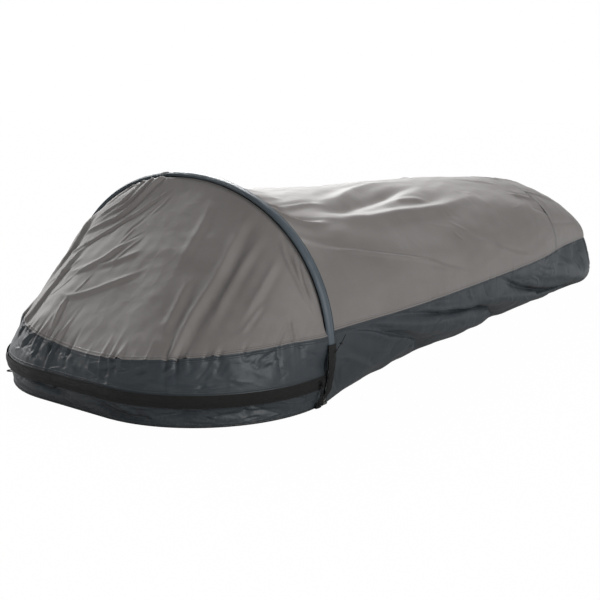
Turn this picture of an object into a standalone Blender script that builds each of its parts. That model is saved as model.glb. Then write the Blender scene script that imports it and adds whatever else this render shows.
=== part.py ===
# A single-hoop bivy sack: coated tub, grey top, zipped hood door and a shock-corded pole arch.
# Metres. +Z is up, -Y is the door end, +X is the sleeper's right when looking out of the door.
import bpy
import bmesh
from math import asin, cos, pi, radians, sin, sqrt
from mathutils import Matrix, Vector

# ---------------------------------------------------------------- driving sizes
bodyLength = 1.745        # hoop plane to the foot end, at the seam
hoopHalfWidth = 0.3886    # outside of the sleeve at the ground
hoopHeight = 0.4605       # outside of the sleeve at the top
hoopBulge = 0.131         # how far the arch swells above its feet
hoopPower = 1.12          # squareness of the arch's shoulders
seamHeight = 0.155        # dark tub to grey top
zipHeight = 0.055         # middle of the door zip
frontRadius = 0.283       # rounded front corners, in plan
frontCentreX = 0.105      # centre of each front corner's arc
frontCentreY = -0.055
zipOutset = 0.012         # the zip line stands out over the floor's edge
doorLean = 0.006          # the door's band leans in from there
footCornerRadius = 0.070
footSeamY = 1.350         # cross seam in front of the foot panel
footEndBulge = 0.012
sideBillow = 0.020        # how far the tub walls swell between their edges

fabricThickness = 0.0014
floorThickness = 0.0014
seamGap = 0.0005          # each edge stops this far from its seam line
foldGap = 0.0014          # wider where two panels meet at a sharp fold
fitGap = 0.0004           # small parts to what they sit on

sleeveDepth = 0.023       # along the body
sleeveHeight = 0.0138     # across the pole, in the arch's plane
sleeveWall = 0.0010
sleeveFootHeight = 0.130  # the sleeve's lower ends
poleRadius = 0.00425
poleBore = 0.0030
ferruleRadius = 0.0052
ferruleBore = 0.0048
ferruleLength = 0.060
poleJointAngle = radians(55)
shockCordRadius = 0.0013
tipRadius = 0.0026
tipLength = 0.024
tipBase = 0.0042          # the tips stand this high, in their grommets

strapWidth = 0.021
strapThickness = 0.0013
grommetRadius = 0.0080
grommetBore = 0.0033
grommetHeight = 0.0016

tapeWidth = 0.0105
tapeThickness = 0.0012
coilHeight = 0.0016
coilDepth = 0.0024
coilGap = 0.0012          # between the two coils, where a slider's keel runs
sliderLength = 0.012
sliderHeight = 0.011
sliderDepth = 0.0022
pullLength = 0.024
pullWidth = 0.0075
pullThickness = 0.0014
barStand = 0.0018         # the pull's bar stands this far off the slider's face
pullCordRadius = 0.0009
pullCordLength = 0.024

doorHingeHeight = 0.110   # the door's edge swings up about a line near the pole's feet
doorInset = 0.0150        # the door hangs inside the sleeve

cordRadius = 0.0014
stakeLoopLength = 0.026
stakeLoopWidth = 0.016
stakeLoopTurn = radians(-40)

# ---------------------------------------------------------------- worked-out sizes
hoopEdge = sleeveDepth / 2 + seamGap
sleeveInset = sleeveHeight / 2
frontReach = -frontCentreY + frontRadius + zipOutset + coilDepth / 2
rearReach = bodyLength + max(footEndBulge, seamGap + fitGap + stakeLoopLength)
hoopY = (frontReach - rearReach) / 2
cornerY = bodyLength - footCornerRadius

# half widths and heights at stations along the body, from the hoop plane back
floorStations = ((0.0, 0.3840), (0.15, 0.345), (0.40, 0.305), (0.70, 0.275), (1.10, 0.250), (1.75, 0.225))
seamStations = ((0.0, 0.3985), (0.15, 0.401), (0.35, 0.397), (0.60, 0.379), (0.95, 0.347), (1.20, 0.315),
                (1.45, 0.264), (1.75, 0.224))
ridgeStations = ((0.0, 0.4545), (0.08, 0.4455), (0.16, 0.422), (0.27, 0.408), (0.50, 0.395), (0.90, 0.391),
                 (1.20, 0.380), (1.80, 0.365))
footRoundStart = 1.20     # the ridge starts to round down to the foot here
footRoundPower = 2.3


def removeOld():
    for old in list(bpy.data.objects):
        bpy.data.objects.remove(old, do_unlink=True)


# ---------------------------------------------------------------- curves
def smoothThrough(stations, at):
    """Cubic curve through the stations, with flat slopes at its first point's side."""
    if at <= stations[0][0]:
        return stations[0][1]
    for i in range(len(stations) - 1):
        if at <= stations[i + 1][0] or i == len(stations) - 2:
            break
    (a, va), (b, vb) = stations[i], stations[i + 1]
    slopeIn = stationSlope(stations, i)
    slopeOut = stationSlope(stations, i + 1)
    span = b - a
    t = (at - a) / span
    return ((2 * t ** 3 - 3 * t ** 2 + 1) * va + (t ** 3 - 2 * t ** 2 + t) * span * slopeIn
            + (-2 * t ** 3 + 3 * t ** 2) * vb + (t ** 3 - t ** 2) * span * slopeOut)


def stationSlope(stations, i):
    if i == 0 or i == len(stations) - 1:
        j = min(max(i, 1), len(stations) - 1)
        return (stations[j][1] - stations[j - 1][1]) / (stations[j][0] - stations[j - 1][0])
    return (stations[i + 1][1] - stations[i - 1][1]) / (stations[i + 1][0] - stations[i - 1][0])


def smoothStep(t):
    t = min(max(t, 0.0), 1.0)
    return t * t * (3 - 2 * t)


def hoopPoint(angle, inset=0.0):
    """A point of the arch in its own plane; angle runs from the right foot (0) to the left (pi)."""
    rise = max(sin(angle), 0.0)
    x = cos(angle) * (hoopHalfWidth - inset + hoopBulge * rise)
    return Vector((x, 0.0, (hoopHeight - inset) * rise ** hoopPower))


def hoopAngleAt(height, inset=0.0):
    return asin(((height / (hoopHeight - inset))) ** (1 / hoopPower))


def hoopNormal(angle, inset=0.0):
    step = 0.001
    along = hoopPoint(angle + step, inset) - hoopPoint(angle - step, inset)
    if angle < step or angle > pi - step:
        along = Vector((0, 0, 1 if angle < 1 else -1))
    along.normalize()
    return Vector((along.z, 0, -along.x)), along


def frontPlan(t, outset, hoopGap=hoopEdge):
    """The front outline in plan; t runs from the right end (0) to the left end (1)."""
    radius = frontRadius + outset
    startAngle = asin((-hoopGap - frontCentreY) / radius)
    arcLength = radius * (startAngle + pi / 2)
    halfLength = arcLength + frontCentreX
    side = 1 if t <= 0.5 else -1
    run = (t if t <= 0.5 else 1 - t) * 2 * halfLength
    if run < arcLength:
        angle = startAngle - run / radius
        x = frontCentreX + radius * cos(angle)
        return Vector((side * x, frontCentreY + radius * sin(angle), 0))
    return Vector((side * (halfLength - run), frontCentreY - radius, 0))


def wallOutset(height):
    """How far the door and the front wall stand out of the floor's outline."""
    if height < zipHeight:
        return zipOutset * smoothStep(height / zipHeight)
    lean = smoothStep((height - zipHeight) / (doorHingeHeight - zipHeight))
    return zipOutset - (zipOutset + doorLean) * lean


def sideHalf(y, level):
    """Half width of the tub at a station; level is 0 at the floor and 1 at the seam."""
    low = smoothThrough(floorStations, y)
    high = smoothThrough(seamStations, y)
    swell = sideBillow * sin(pi * level) * smoothStep(y / 0.4)
    return low + (high - low) * level ** 0.75 + swell


def footPlan(t, level):
    """The foot end in plan, right corner to left corner."""
    half = sideHalf(cornerY, level)
    reach = footCornerRadius + footEndBulge * sin(pi * level)
    flat = half - footCornerRadius
    quarter = 0.36
    if t < quarter:
        angle = t / quarter * pi / 2
        return Vector((flat + footCornerRadius * cos(angle), cornerY + reach * sin(angle), 0))
    if t > 1 - quarter:
        angle = (1 - t) / quarter * pi / 2
        return Vector((-flat - footCornerRadius * cos(angle), cornerY + reach * sin(angle), 0))
    return Vector((flat * (1 - 2 * (t - quarter) / (1 - 2 * quarter)), cornerY + reach, 0))


def seamHalf(y):
    if y <= cornerY:
        return sideHalf(y, 1)
    part = min((y - cornerY) / footCornerRadius, 1)
    return sideHalf(cornerY, 1) - footCornerRadius * (1 - sqrt(1 - part * part))


def ridgeHeight(y):
    height = smoothThrough(ridgeStations, y)
    if y > footRoundStart:
        part = min((y - footRoundStart) / (bodyLength - footRoundStart), 1)
        height = seamHeight + (height - seamHeight) * (1 - part ** footRoundPower) ** (1 / footRoundPower)
    return height


def canopyPoint(y, across):
    """The grey top; across runs from the right seam (0) over the ridge to the left seam (1)."""
    low = seamHeight + seamGap
    angle = across * pi
    rise = max(ridgeHeight(y) - low, 0.0)
    body = Vector((seamHalf(y) * cos(angle), 0, low + rise * sin(angle) ** 0.96))
    startAngle = hoopAngleAt(low, sleeveInset)
    arch = hoopPoint(startAngle + (pi - 2 * startAngle) * across, sleeveInset)
    arch.z = low + (arch.z - low) * rise / (hoopHeight - sleeveInset - low)
    blend = smoothStep(y / 0.36)
    point = arch.lerp(body, blend)
    point.y = y
    return point


# ---------------------------------------------------------------- building
def material(name, colour, roughness, metallic=0.0):
    made = bpy.data.materials.get(name) or bpy.data.materials.new(name)
    made.use_nodes = True
    shader = made.node_tree.nodes['Principled BSDF']
    shader.inputs['Base Color'].default_value = (*colour, 1)
    shader.inputs['Roughness'].default_value = roughness
    shader.inputs['Metallic'].default_value = metallic
    return made


paints = {
    'topCloth': ((0.180, 0.168, 0.160), 0.62, 0.0),
    'tubCloth': ((0.058, 0.074, 0.086), 0.42, 0.0),
    'sleeveCloth': ((0.062, 0.084, 0.100), 0.50, 0.0),
    'zipTape': ((0.022, 0.021, 0.020), 0.75, 0.0),
    'zipCoil': ((0.020, 0.020, 0.020), 0.45, 0.0),
    'sliderMetal': ((0.060, 0.060, 0.062), 0.38, 1.0),
    'poleAlloy': ((0.560, 0.570, 0.590), 0.32, 1.0),
    'webbing': ((0.012, 0.012, 0.013), 0.80, 0.0),
    'brass': ((0.420, 0.400, 0.360), 0.35, 1.0),
    'greyCord': ((0.230, 0.240, 0.250), 0.75, 0.0),
    'blackCord': ((0.014, 0.014, 0.015), 0.75, 0.0),
    'whiteElastic': ((0.600, 0.590, 0.560), 0.80, 0.0),
}


def place(name, mesh, paint, origin=(0, 0, 0)):
    """Adds a mesh made about the hoop plane; its origin becomes the given point of that frame."""
    origin = Vector(origin)
    mesh.transform(Matrix.Translation(-origin))
    mesh.materials.append(material(paint, *paints[paint]))
    made = bpy.data.objects.new(name, mesh)
    made.location = origin + Vector((0, hoopY, 0))
    bpy.context.collection.objects.link(made)
    mesh.shade_smooth()
    mesh.set_sharp_from_angle(angle=radians(35))
    return made


def grid(name, rows, paint, thickness=fabricThickness, outward=True):
    """A sheet through rows of points, thickened inwards."""
    columns = len(rows[0])
    points = [point for row in rows for point in row]
    faces = []
    for j in range(len(rows) - 1):
        for i in range(columns - 1):
            a = j * columns + i
            face = (a, a + 1, a + columns + 1, a + columns)
            faces.append(face if outward else face[::-1])
    mesh = bpy.data.meshes.new(name)
    mesh.from_pydata([tuple(point) for point in points], [], faces)
    made = place(name, mesh, paint)
    solid = made.modifiers.new('thickness', 'SOLIDIFY')
    solid.thickness = thickness
    solid.offset = -1
    solid.use_even_offset = False
    return made


def rings(name, loops, paint, origin=(0, 0, 0), capped=True, closed=False):
    """A solid through loops of points; closed joins the last loop to the first."""
    made = bmesh.new()
    made_loops = [[made.verts.new(point) for point in loop] for loop in loops]
    count = len(loops[0])
    pairs = list(zip(made_loops, made_loops[1:]))
    if closed:
        pairs.append((made_loops[-1], made_loops[0]))
    for first, second in pairs:
        for i in range(count):
            j = (i + 1) % count
            made.faces.new((first[i], first[j], second[j], second[i]))
    if capped and not closed:
        made.faces.new(made_loops[0][::-1])
        made.faces.new(made_loops[-1])
    bmesh.ops.recalc_face_normals(made, faces=made.faces)
    mesh = bpy.data.meshes.new(name)
    made.to_mesh(mesh)
    made.free()
    return place(name, mesh, paint, origin)


def archLoop(angle, depth, height, sides, inset=sleeveInset):
    centre = hoopPoint(angle, inset)
    normal = hoopNormal(angle, inset)[0]
    turns = [2 * pi * k / sides for k in range(sides)]
    return [centre + normal * (height * cos(turn)) + Vector((0, depth * sin(turn), 0)) for turn in turns]


def archTube(name, start, end, outer, inner, paint, steps, sides=10):
    """A hollow tube along the arch; outer and inner are its half depth and half height."""
    angles = [start + (end - start) * k / steps for k in range(steps + 1)]
    loops = [archLoop(angle, *outer, sides) for angle in angles]
    loops += [archLoop(angle, *inner, sides) for angle in reversed(angles)]
    return rings(name, loops, paint, closed=True)


def tubeThrough(name, points, radius, paint, sides=8, closed=False, origin=(0, 0, 0)):
    """A round cord through points, with frames carried along it."""
    loops = []
    side = None
    count = len(points)
    for k, point in enumerate(points):
        before = points[k - 1] if (k or closed) else point
        after = points[(k + 1) % count] if (k < count - 1 or closed) else point
        along = (after - before).normalized()
        if side is None:
            side = along.orthogonal().normalized()
        side = (side - along * side.dot(along)).normalized()
        other = along.cross(side)
        turns = [2 * pi * n / sides for n in range(sides)]
        loops.append([point + (side * cos(turn) + other * sin(turn)) * radius for turn in turns])
    return rings(name, loops, paint, origin, closed=closed)


def box(name, centre, size, axes, paint, origin=(0, 0, 0), bevel=0.0):
    """A box with its own three axes."""
    made = bmesh.new()
    bmesh.ops.create_cube(made, size=1)
    frame = Matrix((axes[0] * size[0], axes[1] * size[1], axes[2] * size[2])).transposed()
    for vert in made.verts:
        vert.co = Vector(centre) + frame @ vert.co
    made.normal_update()
    if bevel:
        bmesh.ops.bevel(made, geom=made.edges[:], offset=bevel, segments=2, affect='EDGES', profile=0.5)
    mesh = bpy.data.meshes.new(name)
    made.to_mesh(mesh)
    made.free()
    return place(name, mesh, paint, origin)


def spread(start, end, count):
    return [start + (end - start) * k / count for k in range(count + 1)]


# ---------------------------------------------------------------- sewn shell
def frontRow(height, columns, outset=None, hoopGap=hoopEdge):
    stand = wallOutset(height) if outset is None else outset
    return [frontPlan(t, stand, hoopGap) + Vector((0, 0, height)) for t in spread(0, 1, columns)]


def makeFloor():
    front = [frontPlan(t, -seamGap) for t in spread(0, 1, 32)]
    left = [Vector((-sideHalf(y, 0) + seamGap, y, 0)) for y in spread(hoopEdge, cornerY, 12)[:-1]]
    foot = [footPlan(t, 0) for t in spread(1, 0, 20)]
    right = [Vector((sideHalf(y, 0) - seamGap, y, 0)) for y in spread(cornerY, hoopEdge, 12)[1:]]
    outline = [pullIn(point) for point in front + left + foot + right]
    lift = Vector((0, 0, floorThickness))
    return rings('floor_sheet', [outline, [point + lift for point in outline]], 'tubCloth')


def pullIn(point):
    """Moves a floor point inside the walls that stand around it."""
    margin = fabricThickness + 2 * seamGap
    middle = Vector((0, bodyLength * 0.4, 0))
    wide = Vector((point.x, point.y - middle.y, 0))
    return Vector((point.x * (1 - margin / 0.24), middle.y + wide.y * (1 - margin / 0.70), 0))


def makeSideWall(name, side):
    rows = []
    for level in spread(0, 1, 5):
        height = level * (seamHeight - seamGap)
        stations = [hoopEdge + (cornerY - seamGap - hoopEdge) * k / 12 for k in range(13)]
        rows.append([Vector((side * sideHalf(y, level), y, height)) for y in stations])
    return grid(name, rows, 'tubCloth', outward=side > 0)


def makeFootWall():
    rows = []
    for level in spread(0, 1, 5):
        lift = Vector((0, seamGap, level * (seamHeight - seamGap)))
        rows.append([footPlan(t, level) + lift for t in spread(0, 1, 18)])
    return grid('tub_wall_foot', rows, 'tubCloth')


def makeFrontWall():
    top = zipHeight - coilGap / 2 - coilHeight - tapeWidth - 2 * seamGap
    rows = [frontRow(height, 32) for height in spread(0, top, 2)]
    return grid('tub_wall_front', rows, 'tubCloth', outward=False)


def makeCanopy():
    near = [hoopEdge, 0.05, 0.10, 0.15, 0.21, 0.28, 0.38]
    stations = near + spread(0.52, footSeamY - seamGap, 6)
    rows = [[canopyPoint(y, across) for across in spread(0, 1, 20)] for y in stations]
    return grid('body_canopy', rows, 'topCloth', outward=True)


def makeFootPanel():
    reach = bodyLength - footSeamY - seamGap
    stations = [footSeamY + seamGap + reach * sin(part * pi / 2) for part in spread(0, 1, 7)]
    rows = [[canopyPoint(y, across) for across in spread(0, 1, 20)] for y in stations]
    return grid('foot_panel', rows, 'topCloth', outward=True)


def makeSleeve():
    start = hoopAngleAt(sleeveFootHeight, sleeveInset)
    outer = (sleeveDepth / 2, sleeveHeight / 2)
    inner = (outer[0] - sleeveWall, outer[1] - sleeveWall)
    return archTube('pole_sleeve', start, pi - start, outer, inner, 'sleeveCloth', 28, 8)


# ---------------------------------------------------------------- door
def makeDoorPanel():
    columns = 28
    low = seamHeight + foldGap
    startAngle = hoopAngleAt(seamHeight + 0.010, doorInset)
    rows = []
    for part in spread(0, 1, 6):
        row = []
        for t in spread(0, 1, columns):
            bottom = frontPlan(t, wallOutset(low), hoopEdge + 0.006) + Vector((0, 0, low))
            sweep = 0.5 - 0.5 * abs(1 - 2 * t) ** 1.4 * (1 if t < 0.5 else -1)
            top = hoopPoint(startAngle + (pi - 2 * startAngle) * sweep, doorInset)
            top.y = -hoopEdge
            row.append(bottom.lerp(top, part))
        rows.append(row)
    return grid('door_panel_upper', rows, 'topCloth', outward=False)


def makeDoorBand():
    low = zipHeight + coilGap / 2 + coilHeight + tapeWidth + 2 * seamGap
    rows = [frontRow(height, 32) for height in spread(low, seamHeight - seamGap, 4)]
    return grid('door_panel_lower', rows, 'tubCloth', outward=False)


# ---------------------------------------------------------------- zip
def makeZipRow(name, low, high, depth, paint, hoopGap=hoopEdge):
    """A band along the zip's arc, centred on the zip's own outline."""
    loops = []
    for t in spread(0, 1, 40):
        inner = frontPlan(t, zipOutset - depth / 2, hoopGap)
        outer = frontPlan(t, zipOutset + depth / 2, hoopGap)
        corners = ((inner, low), (outer, low), (outer, high), (inner, high))
        loops.append([point + Vector((0, 0, height)) for point, height in corners])
    return rings(name, loops, paint)


def makeZipRows():
    coilLow = zipHeight - coilGap / 2
    coilHigh = zipHeight + coilGap / 2
    stopRoom = hoopEdge + 0.006
    makeZipRow('zip_teeth_lower', coilLow - coilHeight, coilLow, coilDepth, 'zipCoil', stopRoom)
    makeZipRow('zip_teeth_upper', coilHigh, coilHigh + coilHeight, coilDepth, 'zipCoil', stopRoom)
    lowTop = coilLow - coilHeight - seamGap
    makeZipRow('zip_tape_lower', lowTop - tapeWidth, lowTop, tapeThickness, 'zipTape')
    highLow = coilHigh + coilHeight + seamGap
    makeZipRow('zip_tape_upper', highLow, highLow + tapeWidth, tapeThickness, 'zipTape')


def zipFrame(side, y):
    """Point, outward and along directions on the zip's arc at a station in front of the hoop."""
    radius = frontRadius + zipOutset
    angle = asin((y - frontCentreY) / radius)
    outward = Vector((side * cos(angle), sin(angle), 0))
    point = Vector((side * frontCentreX, frontCentreY, zipHeight)) + outward * radius
    return point, outward, Vector((-outward.y, outward.x, 0))


def makeZipEnds(name, side):
    point, outward, along = zipFrame(side, -hoopEdge - 0.0030)
    low = Vector((0, 0, -coilGap / 2 - coilHeight / 2))
    size = (coilDepth, 0.0046, coilHeight)
    box('zip_stop_' + name, point + low, size, (outward, along, Vector((0, 0, 1))), 'sliderMetal')


sliderY = -0.034          # where each slider rests, beside the hoop's foot
slideGap = 0.0006         # the slider's face to the coils
sliderFace = coilDepth / 2 + slideGap + sliderDepth
bailHalf = 0.0036
bailThickness = 0.0010


def makeSlider(name, side):
    """The slider's shell with a keel in the coil gap and a bail for the pull, as one piece."""
    point, outward, along = zipFrame(side, sliderY)
    up = Vector((0, 0, 1))
    axes = (outward, along, up)
    shellMiddle = point + outward * (sliderFace - sliderDepth / 2)
    shell = box('zip_slider_' + name, shellMiddle, (sliderDepth, sliderLength, sliderHeight), axes,
                'sliderMetal', bevel=0.0007)
    bailLoops = []
    for shift in (-bailThickness, bailThickness):
        bailLoops.append([point + outward * o + up * z + along * shift for o, z in bailProfile()])
    bail = rings('zip_bail_' + name, bailLoops, 'sliderMetal')
    keelReach = sliderFace - sliderDepth + 0.0005
    keelSize = (keelReach, sliderLength / 2, coilGap - 2 * 0.00035)
    keel = box('zip_keel_' + name, point + outward * keelReach / 2, keelSize, axes, 'sliderMetal')
    for extra in (bail, keel):
        combine(shell, extra, 'UNION')
    moveOrigin(shell, Vector((side * frontCentreX, frontCentreY, 0)))


def combine(made, other, operation):
    """Joins or cuts with another object, which then only serves as a guide."""
    step = made.modifiers.new('combine', 'BOOLEAN')
    step.operation = operation
    step.solver = 'EXACT'
    step.object = other
    other.hide_render = True
    other.display_type = 'WIRE'


def moveOrigin(made, origin):
    shift = origin + Vector((0, hoopY, 0)) - made.location
    made.data.transform(Matrix.Translation(-shift))
    made.location = made.location + shift


def bailProfile():
    """A bent strip over the slider's face, which the pull's bar turns in."""
    face = sliderFace - 0.0003
    reach = face + 2 * barStand + 0.0006
    inner = bailHalf - bailThickness
    return ((face, bailHalf), (reach, bailHalf), (reach, -bailHalf), (face, -bailHalf), (face, -inner),
            (reach - bailThickness, -inner), (reach - bailThickness, inner), (face, inner))


def makePull(name, side):
    """A flat tab whose top bar turns under the bail, with a cord loop through its eye."""
    point, outward, along = zipFrame(side, sliderY)
    up = Vector((0, 0, 1))
    axes = (outward, along, up)
    pivot = point + outward * (sliderFace - 0.0003 + barStand) - up * 0.0010
    barHalf = 0.0008
    size = (pullThickness, pullWidth, pullLength + barHalf)
    tab = box('zip_pull_' + name, pivot - up * (pullLength - barHalf) / 2, size, axes, 'sliderMetal',
              bevel=0.0005)
    eyeDrop = pullLength - 0.0040
    holes = ((0.0034, 0.0044, 0.0052), (eyeDrop, 0.0034, 0.0034))
    for k, (drop, wide, tall) in enumerate(holes):
        hole = box('zip_pull_hole_' + name + str(k), pivot - up * drop, (pullThickness * 3, wide, tall),
                   axes, 'sliderMetal')
        combine(tab, hole, 'DIFFERENCE')
    moveOrigin(tab, pivot)
    half = pullCordLength / 2
    middle = pivot - up * (eyeDrop + half - 0.0004)
    turns = [2 * pi * k / 12 for k in range(12)]
    ring = [middle + up * (half * cos(turn)) + outward * (0.0032 * sin(turn)) for turn in turns]
    cord = tubeThrough('zip_pull_cord_' + name, ring, pullCordRadius, 'blackCord', sides=6, closed=True)
    moveOrigin(cord, pivot)


# ---------------------------------------------------------------- pole
def makePole():
    foot = tipAngle(tipLength + fitGap)
    joint = poleJointAngle
    slack = 0.0008
    outer = (poleRadius, poleRadius)
    inner = (poleBore, poleBore)
    archTube('pole_section_right', foot, joint - slack, outer, inner, 'poleAlloy', 14, 8)
    archTube('pole_section_top', joint + slack, pi - joint - slack, outer, inner, 'poleAlloy', 20, 8)
    archTube('pole_section_left', pi - joint + slack, pi - foot, outer, inner, 'poleAlloy', 14, 8)
    span = ferruleLength / 2 / (hoopHalfWidth + hoopBulge * 0.6)
    shell = (ferruleRadius, ferruleRadius)
    bore = (ferruleBore, ferruleBore)
    archTube('pole_ferrule_right', joint - span, joint + span, shell, bore, 'poleAlloy', 4, 10)
    archTube('pole_ferrule_left', pi - joint - span, pi - joint + span, shell, bore, 'poleAlloy', 4, 10)
    cordStart = foot + 0.002
    path = [hoopPoint(angle, sleeveInset) for angle in spread(cordStart, pi - cordStart, 30)]
    tubeThrough('shock_cord', path, shockCordRadius, 'whiteElastic', sides=6)


def tipAngle(rise):
    return hoopAngleAt(tipBase + rise, sleeveInset)


def makeTip(name, side):
    """A turned tip that follows the arch's own line down to the grommet."""
    profile = ((0.0, 0.0016), (0.0006, tipRadius), (tipLength - 0.004, tipRadius),
               (tipLength - 0.0035, poleRadius), (tipLength, poleRadius))
    loops = []
    for rise, radius in profile:
        angle = tipAngle(rise)
        loops.append(archLoop(angle if side > 0 else pi - angle, radius, radius, 10))
    rings('pole_tip_' + name, loops, 'brass')


def makeGrommet(name, side):
    foot = hoopPoint(tipAngle(grommetHeight / 2), sleeveInset)
    low = floorThickness + fitGap + strapThickness + fitGap
    profile = ((grommetBore, 0), (grommetRadius, 0), (grommetRadius, grommetHeight * 0.5),
               (grommetRadius * 0.8, grommetHeight), (grommetBore, grommetHeight))
    loops = []
    for k in range(14):
        turn = 2 * pi * k / 14
        way = Vector((cos(turn), sin(turn), 0))
        centre = Vector((side * foot.x, 0, low))
        loops.append([centre + way * radius + Vector((0, 0, rise)) for radius, rise in profile])
    rings('grommet_' + name, loops, 'brass', closed=True)


def makeStrap(name, side):
    """Webbing from the sleeve's end down outside the pole, then in under its tip."""
    low = floorThickness + fitGap
    tipX = hoopPoint(tipAngle(0), sleeveInset).x
    footX = tipX + grommetRadius + fitGap + strapThickness + 0.0010
    outer = []
    inner = []
    for height in spread(sleeveFootHeight - 0.0010, low + 0.006, 8):
        angle = hoopAngleAt(height)
        point = hoopPoint(angle)
        point.x = max(point.x, footX)
        outer.append(point)
        inner.append(point - hoopNormal(angle)[0] * strapThickness)
    outer += [Vector((footX, 0, low + 0.002)), Vector((footX - 0.002, 0, low)),
              Vector((tipX - grommetRadius, 0, low))]
    inner += [Vector((footX - strapThickness, 0, low + 0.0026)),
              Vector((footX - 0.0026, 0, low + strapThickness)),
              Vector((tipX - grommetRadius, 0, low + strapThickness))]
    loops = []
    for y in (-strapWidth / 2, strapWidth / 2):
        loops.append([Vector((side * point.x, y, point.z)) for point in outer + inner[::-1]])
    rings('pole_strap_' + name, loops, 'webbing')


def makeStrapTail(name, side):
    stand = hoopPoint(hoopAngleAt(0.115)).x + 0.0020
    route = (Vector((stand, 0.004, 0.112)), Vector((stand + 0.0030, 0.010, 0.122)),
             Vector((stand + 0.0050, 0.020, 0.133)), Vector((stand + 0.0056, 0.032, 0.146)))
    path = [Vector((side * point.x, point.y, point.z)) for point in smoothRoute(route, 4)]
    tubeThrough('strap_tail_' + name, path, 0.0009, 'blackCord', sides=6)


def smoothRoute(route, steps):
    """Points of a Catmull-Rom curve through the route."""
    padded = [route[0] * 2 - route[1], *route, route[-1] * 2 - route[-2]]
    path = []
    for i in range(len(route) - 1):
        a, b, c, d = padded[i:i + 4]
        for k in range(steps):
            t = k / steps
            path.append(0.5 * (2 * b + (c - a) * t + (2 * a - 5 * b + 4 * c - d) * t * t
                               + (3 * b - a - 3 * c + d) * t ** 3))
    path.append(route[-1])
    return path


# ---------------------------------------------------------------- small parts
def makeTieLoop():
    """A small cord loop that stands out of the sleeve's front edge at the top."""
    count = 14
    loop = []
    for k in range(count):
        turn = 2 * pi * k / count
        middle = Vector((-0.045, -hoopEdge - 0.0085, 0.4560))
        loop.append(middle + Vector((0.0055 * cos(turn), 0.0068 * sin(turn), 0.0012 * sin(turn))))
    tubeThrough('tie_loop', loop, 0.0010, 'greyCord', sides=6, closed=True)


def makeStakeLoop(name, base, outward):
    """A flat cord loop on the ground; it swings about its sewn end."""
    along = Vector((-outward.y, outward.x, 0))
    centre = base + outward * (stakeLoopLength / 2 + fitGap)
    count = 12
    loop = []
    for k in range(count):
        turn = 2 * pi * k / count
        reach = (stakeLoopLength / 2 - cordRadius) * cos(turn)
        wide = (stakeLoopWidth / 2 - cordRadius) * sin(turn)
        loop.append(centre + outward * reach + along * wide + Vector((0, 0, cordRadius + 0.0002)))
    made = tubeThrough('stake_loop_' + name, loop, cordRadius, 'blackCord', sides=6, closed=True)
    moveOrigin(made, base + outward * (fitGap + cordRadius) + Vector((0, 0, cordRadius + 0.0002)))


def makeStakeLoops():
    outward = Vector((-cos(stakeLoopTurn), sin(stakeLoopTurn), 0))
    centre = Vector((-frontCentreX, frontCentreY, 0))
    makeStakeLoop('front_left', centre + outward * frontRadius, outward)
    makeStakeLoop('foot', Vector((0, cornerY + footCornerRadius + seamGap, 0)), Vector((0, 1, 0)))


def build():
    removeOld()
    makeFloor()
    makeFootWall()
    makeFrontWall()
    makeCanopy()
    makeFootPanel()
    makeSleeve()
    makeDoorPanel()
    makeDoorBand()
    makeZipRows()
    makePole()
    makeTieLoop()
    makeStakeLoops()
    for side, name in ((1, 'right'), (-1, 'left')):
        makeSideWall('tub_wall_' + name, side)
        makeZipEnds(name, side)
        makeSlider(name, side)
        makePull(name, side)
        makeTip(name, side)
        makeGrommet(name, side)
        makeStrap(name, side)
        makeStrapTail(name, side)


build()
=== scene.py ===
import bmesh
import bpy
import numpy as np
from math import asin, cos, exp, pi, radians, sin, sqrt
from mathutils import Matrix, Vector


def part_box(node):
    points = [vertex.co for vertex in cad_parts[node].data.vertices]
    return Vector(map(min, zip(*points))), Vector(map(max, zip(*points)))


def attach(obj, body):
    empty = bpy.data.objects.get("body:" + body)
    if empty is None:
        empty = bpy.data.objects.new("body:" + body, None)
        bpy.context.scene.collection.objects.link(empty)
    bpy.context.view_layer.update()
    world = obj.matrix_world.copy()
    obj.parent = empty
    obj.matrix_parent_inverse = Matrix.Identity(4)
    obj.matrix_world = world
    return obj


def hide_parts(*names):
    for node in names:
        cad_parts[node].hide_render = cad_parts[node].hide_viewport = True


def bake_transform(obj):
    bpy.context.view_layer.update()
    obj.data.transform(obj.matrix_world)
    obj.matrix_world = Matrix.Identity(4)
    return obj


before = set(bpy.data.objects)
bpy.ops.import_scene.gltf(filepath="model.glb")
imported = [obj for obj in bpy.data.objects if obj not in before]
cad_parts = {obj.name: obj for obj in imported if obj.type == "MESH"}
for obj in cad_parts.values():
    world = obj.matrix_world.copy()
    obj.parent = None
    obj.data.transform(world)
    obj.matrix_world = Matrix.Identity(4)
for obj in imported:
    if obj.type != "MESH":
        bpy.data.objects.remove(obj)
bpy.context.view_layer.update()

# the sack's own sizes, in metres, about the plane of its pole arch
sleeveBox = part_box('pole_sleeve')
hoopY = (sleeveBox[0][1] + sleeveBox[1][1]) / 2
sack = {
    'length': 1.745,
    'hoopHalf': 0.3886,
    'hoopHeight': 0.4605,
    'hoopBulge': 0.131,
    'hoopPower': 1.12,
    'seamHeight': 0.155,
    'zipHeight': 0.055,
    'frontRadius': 0.283,
    'frontX': 0.105,
    'frontY': -0.055,
    'zipOut': 0.012,
    'doorLean': 0.006,
    'footCorner': 0.070,
    'wallPower': 0.75,
    'footBulge': 0.012,
    'footBulgePower': 1.6,   # keeps the wall's foot clear of the standing peg loop
    'footSeam': 1.350,
    'roundStart': 1.20,
    'roundPower': 2.5,
    'sleeveInset': 0.0069,
    'cornerShare': 0.36,
    'crownPower': 0.96,
    'archBlend': 0.36,
    'rimGap': 0.0095,
}
cornerY = sack['length'] - sack['footCorner']

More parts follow.
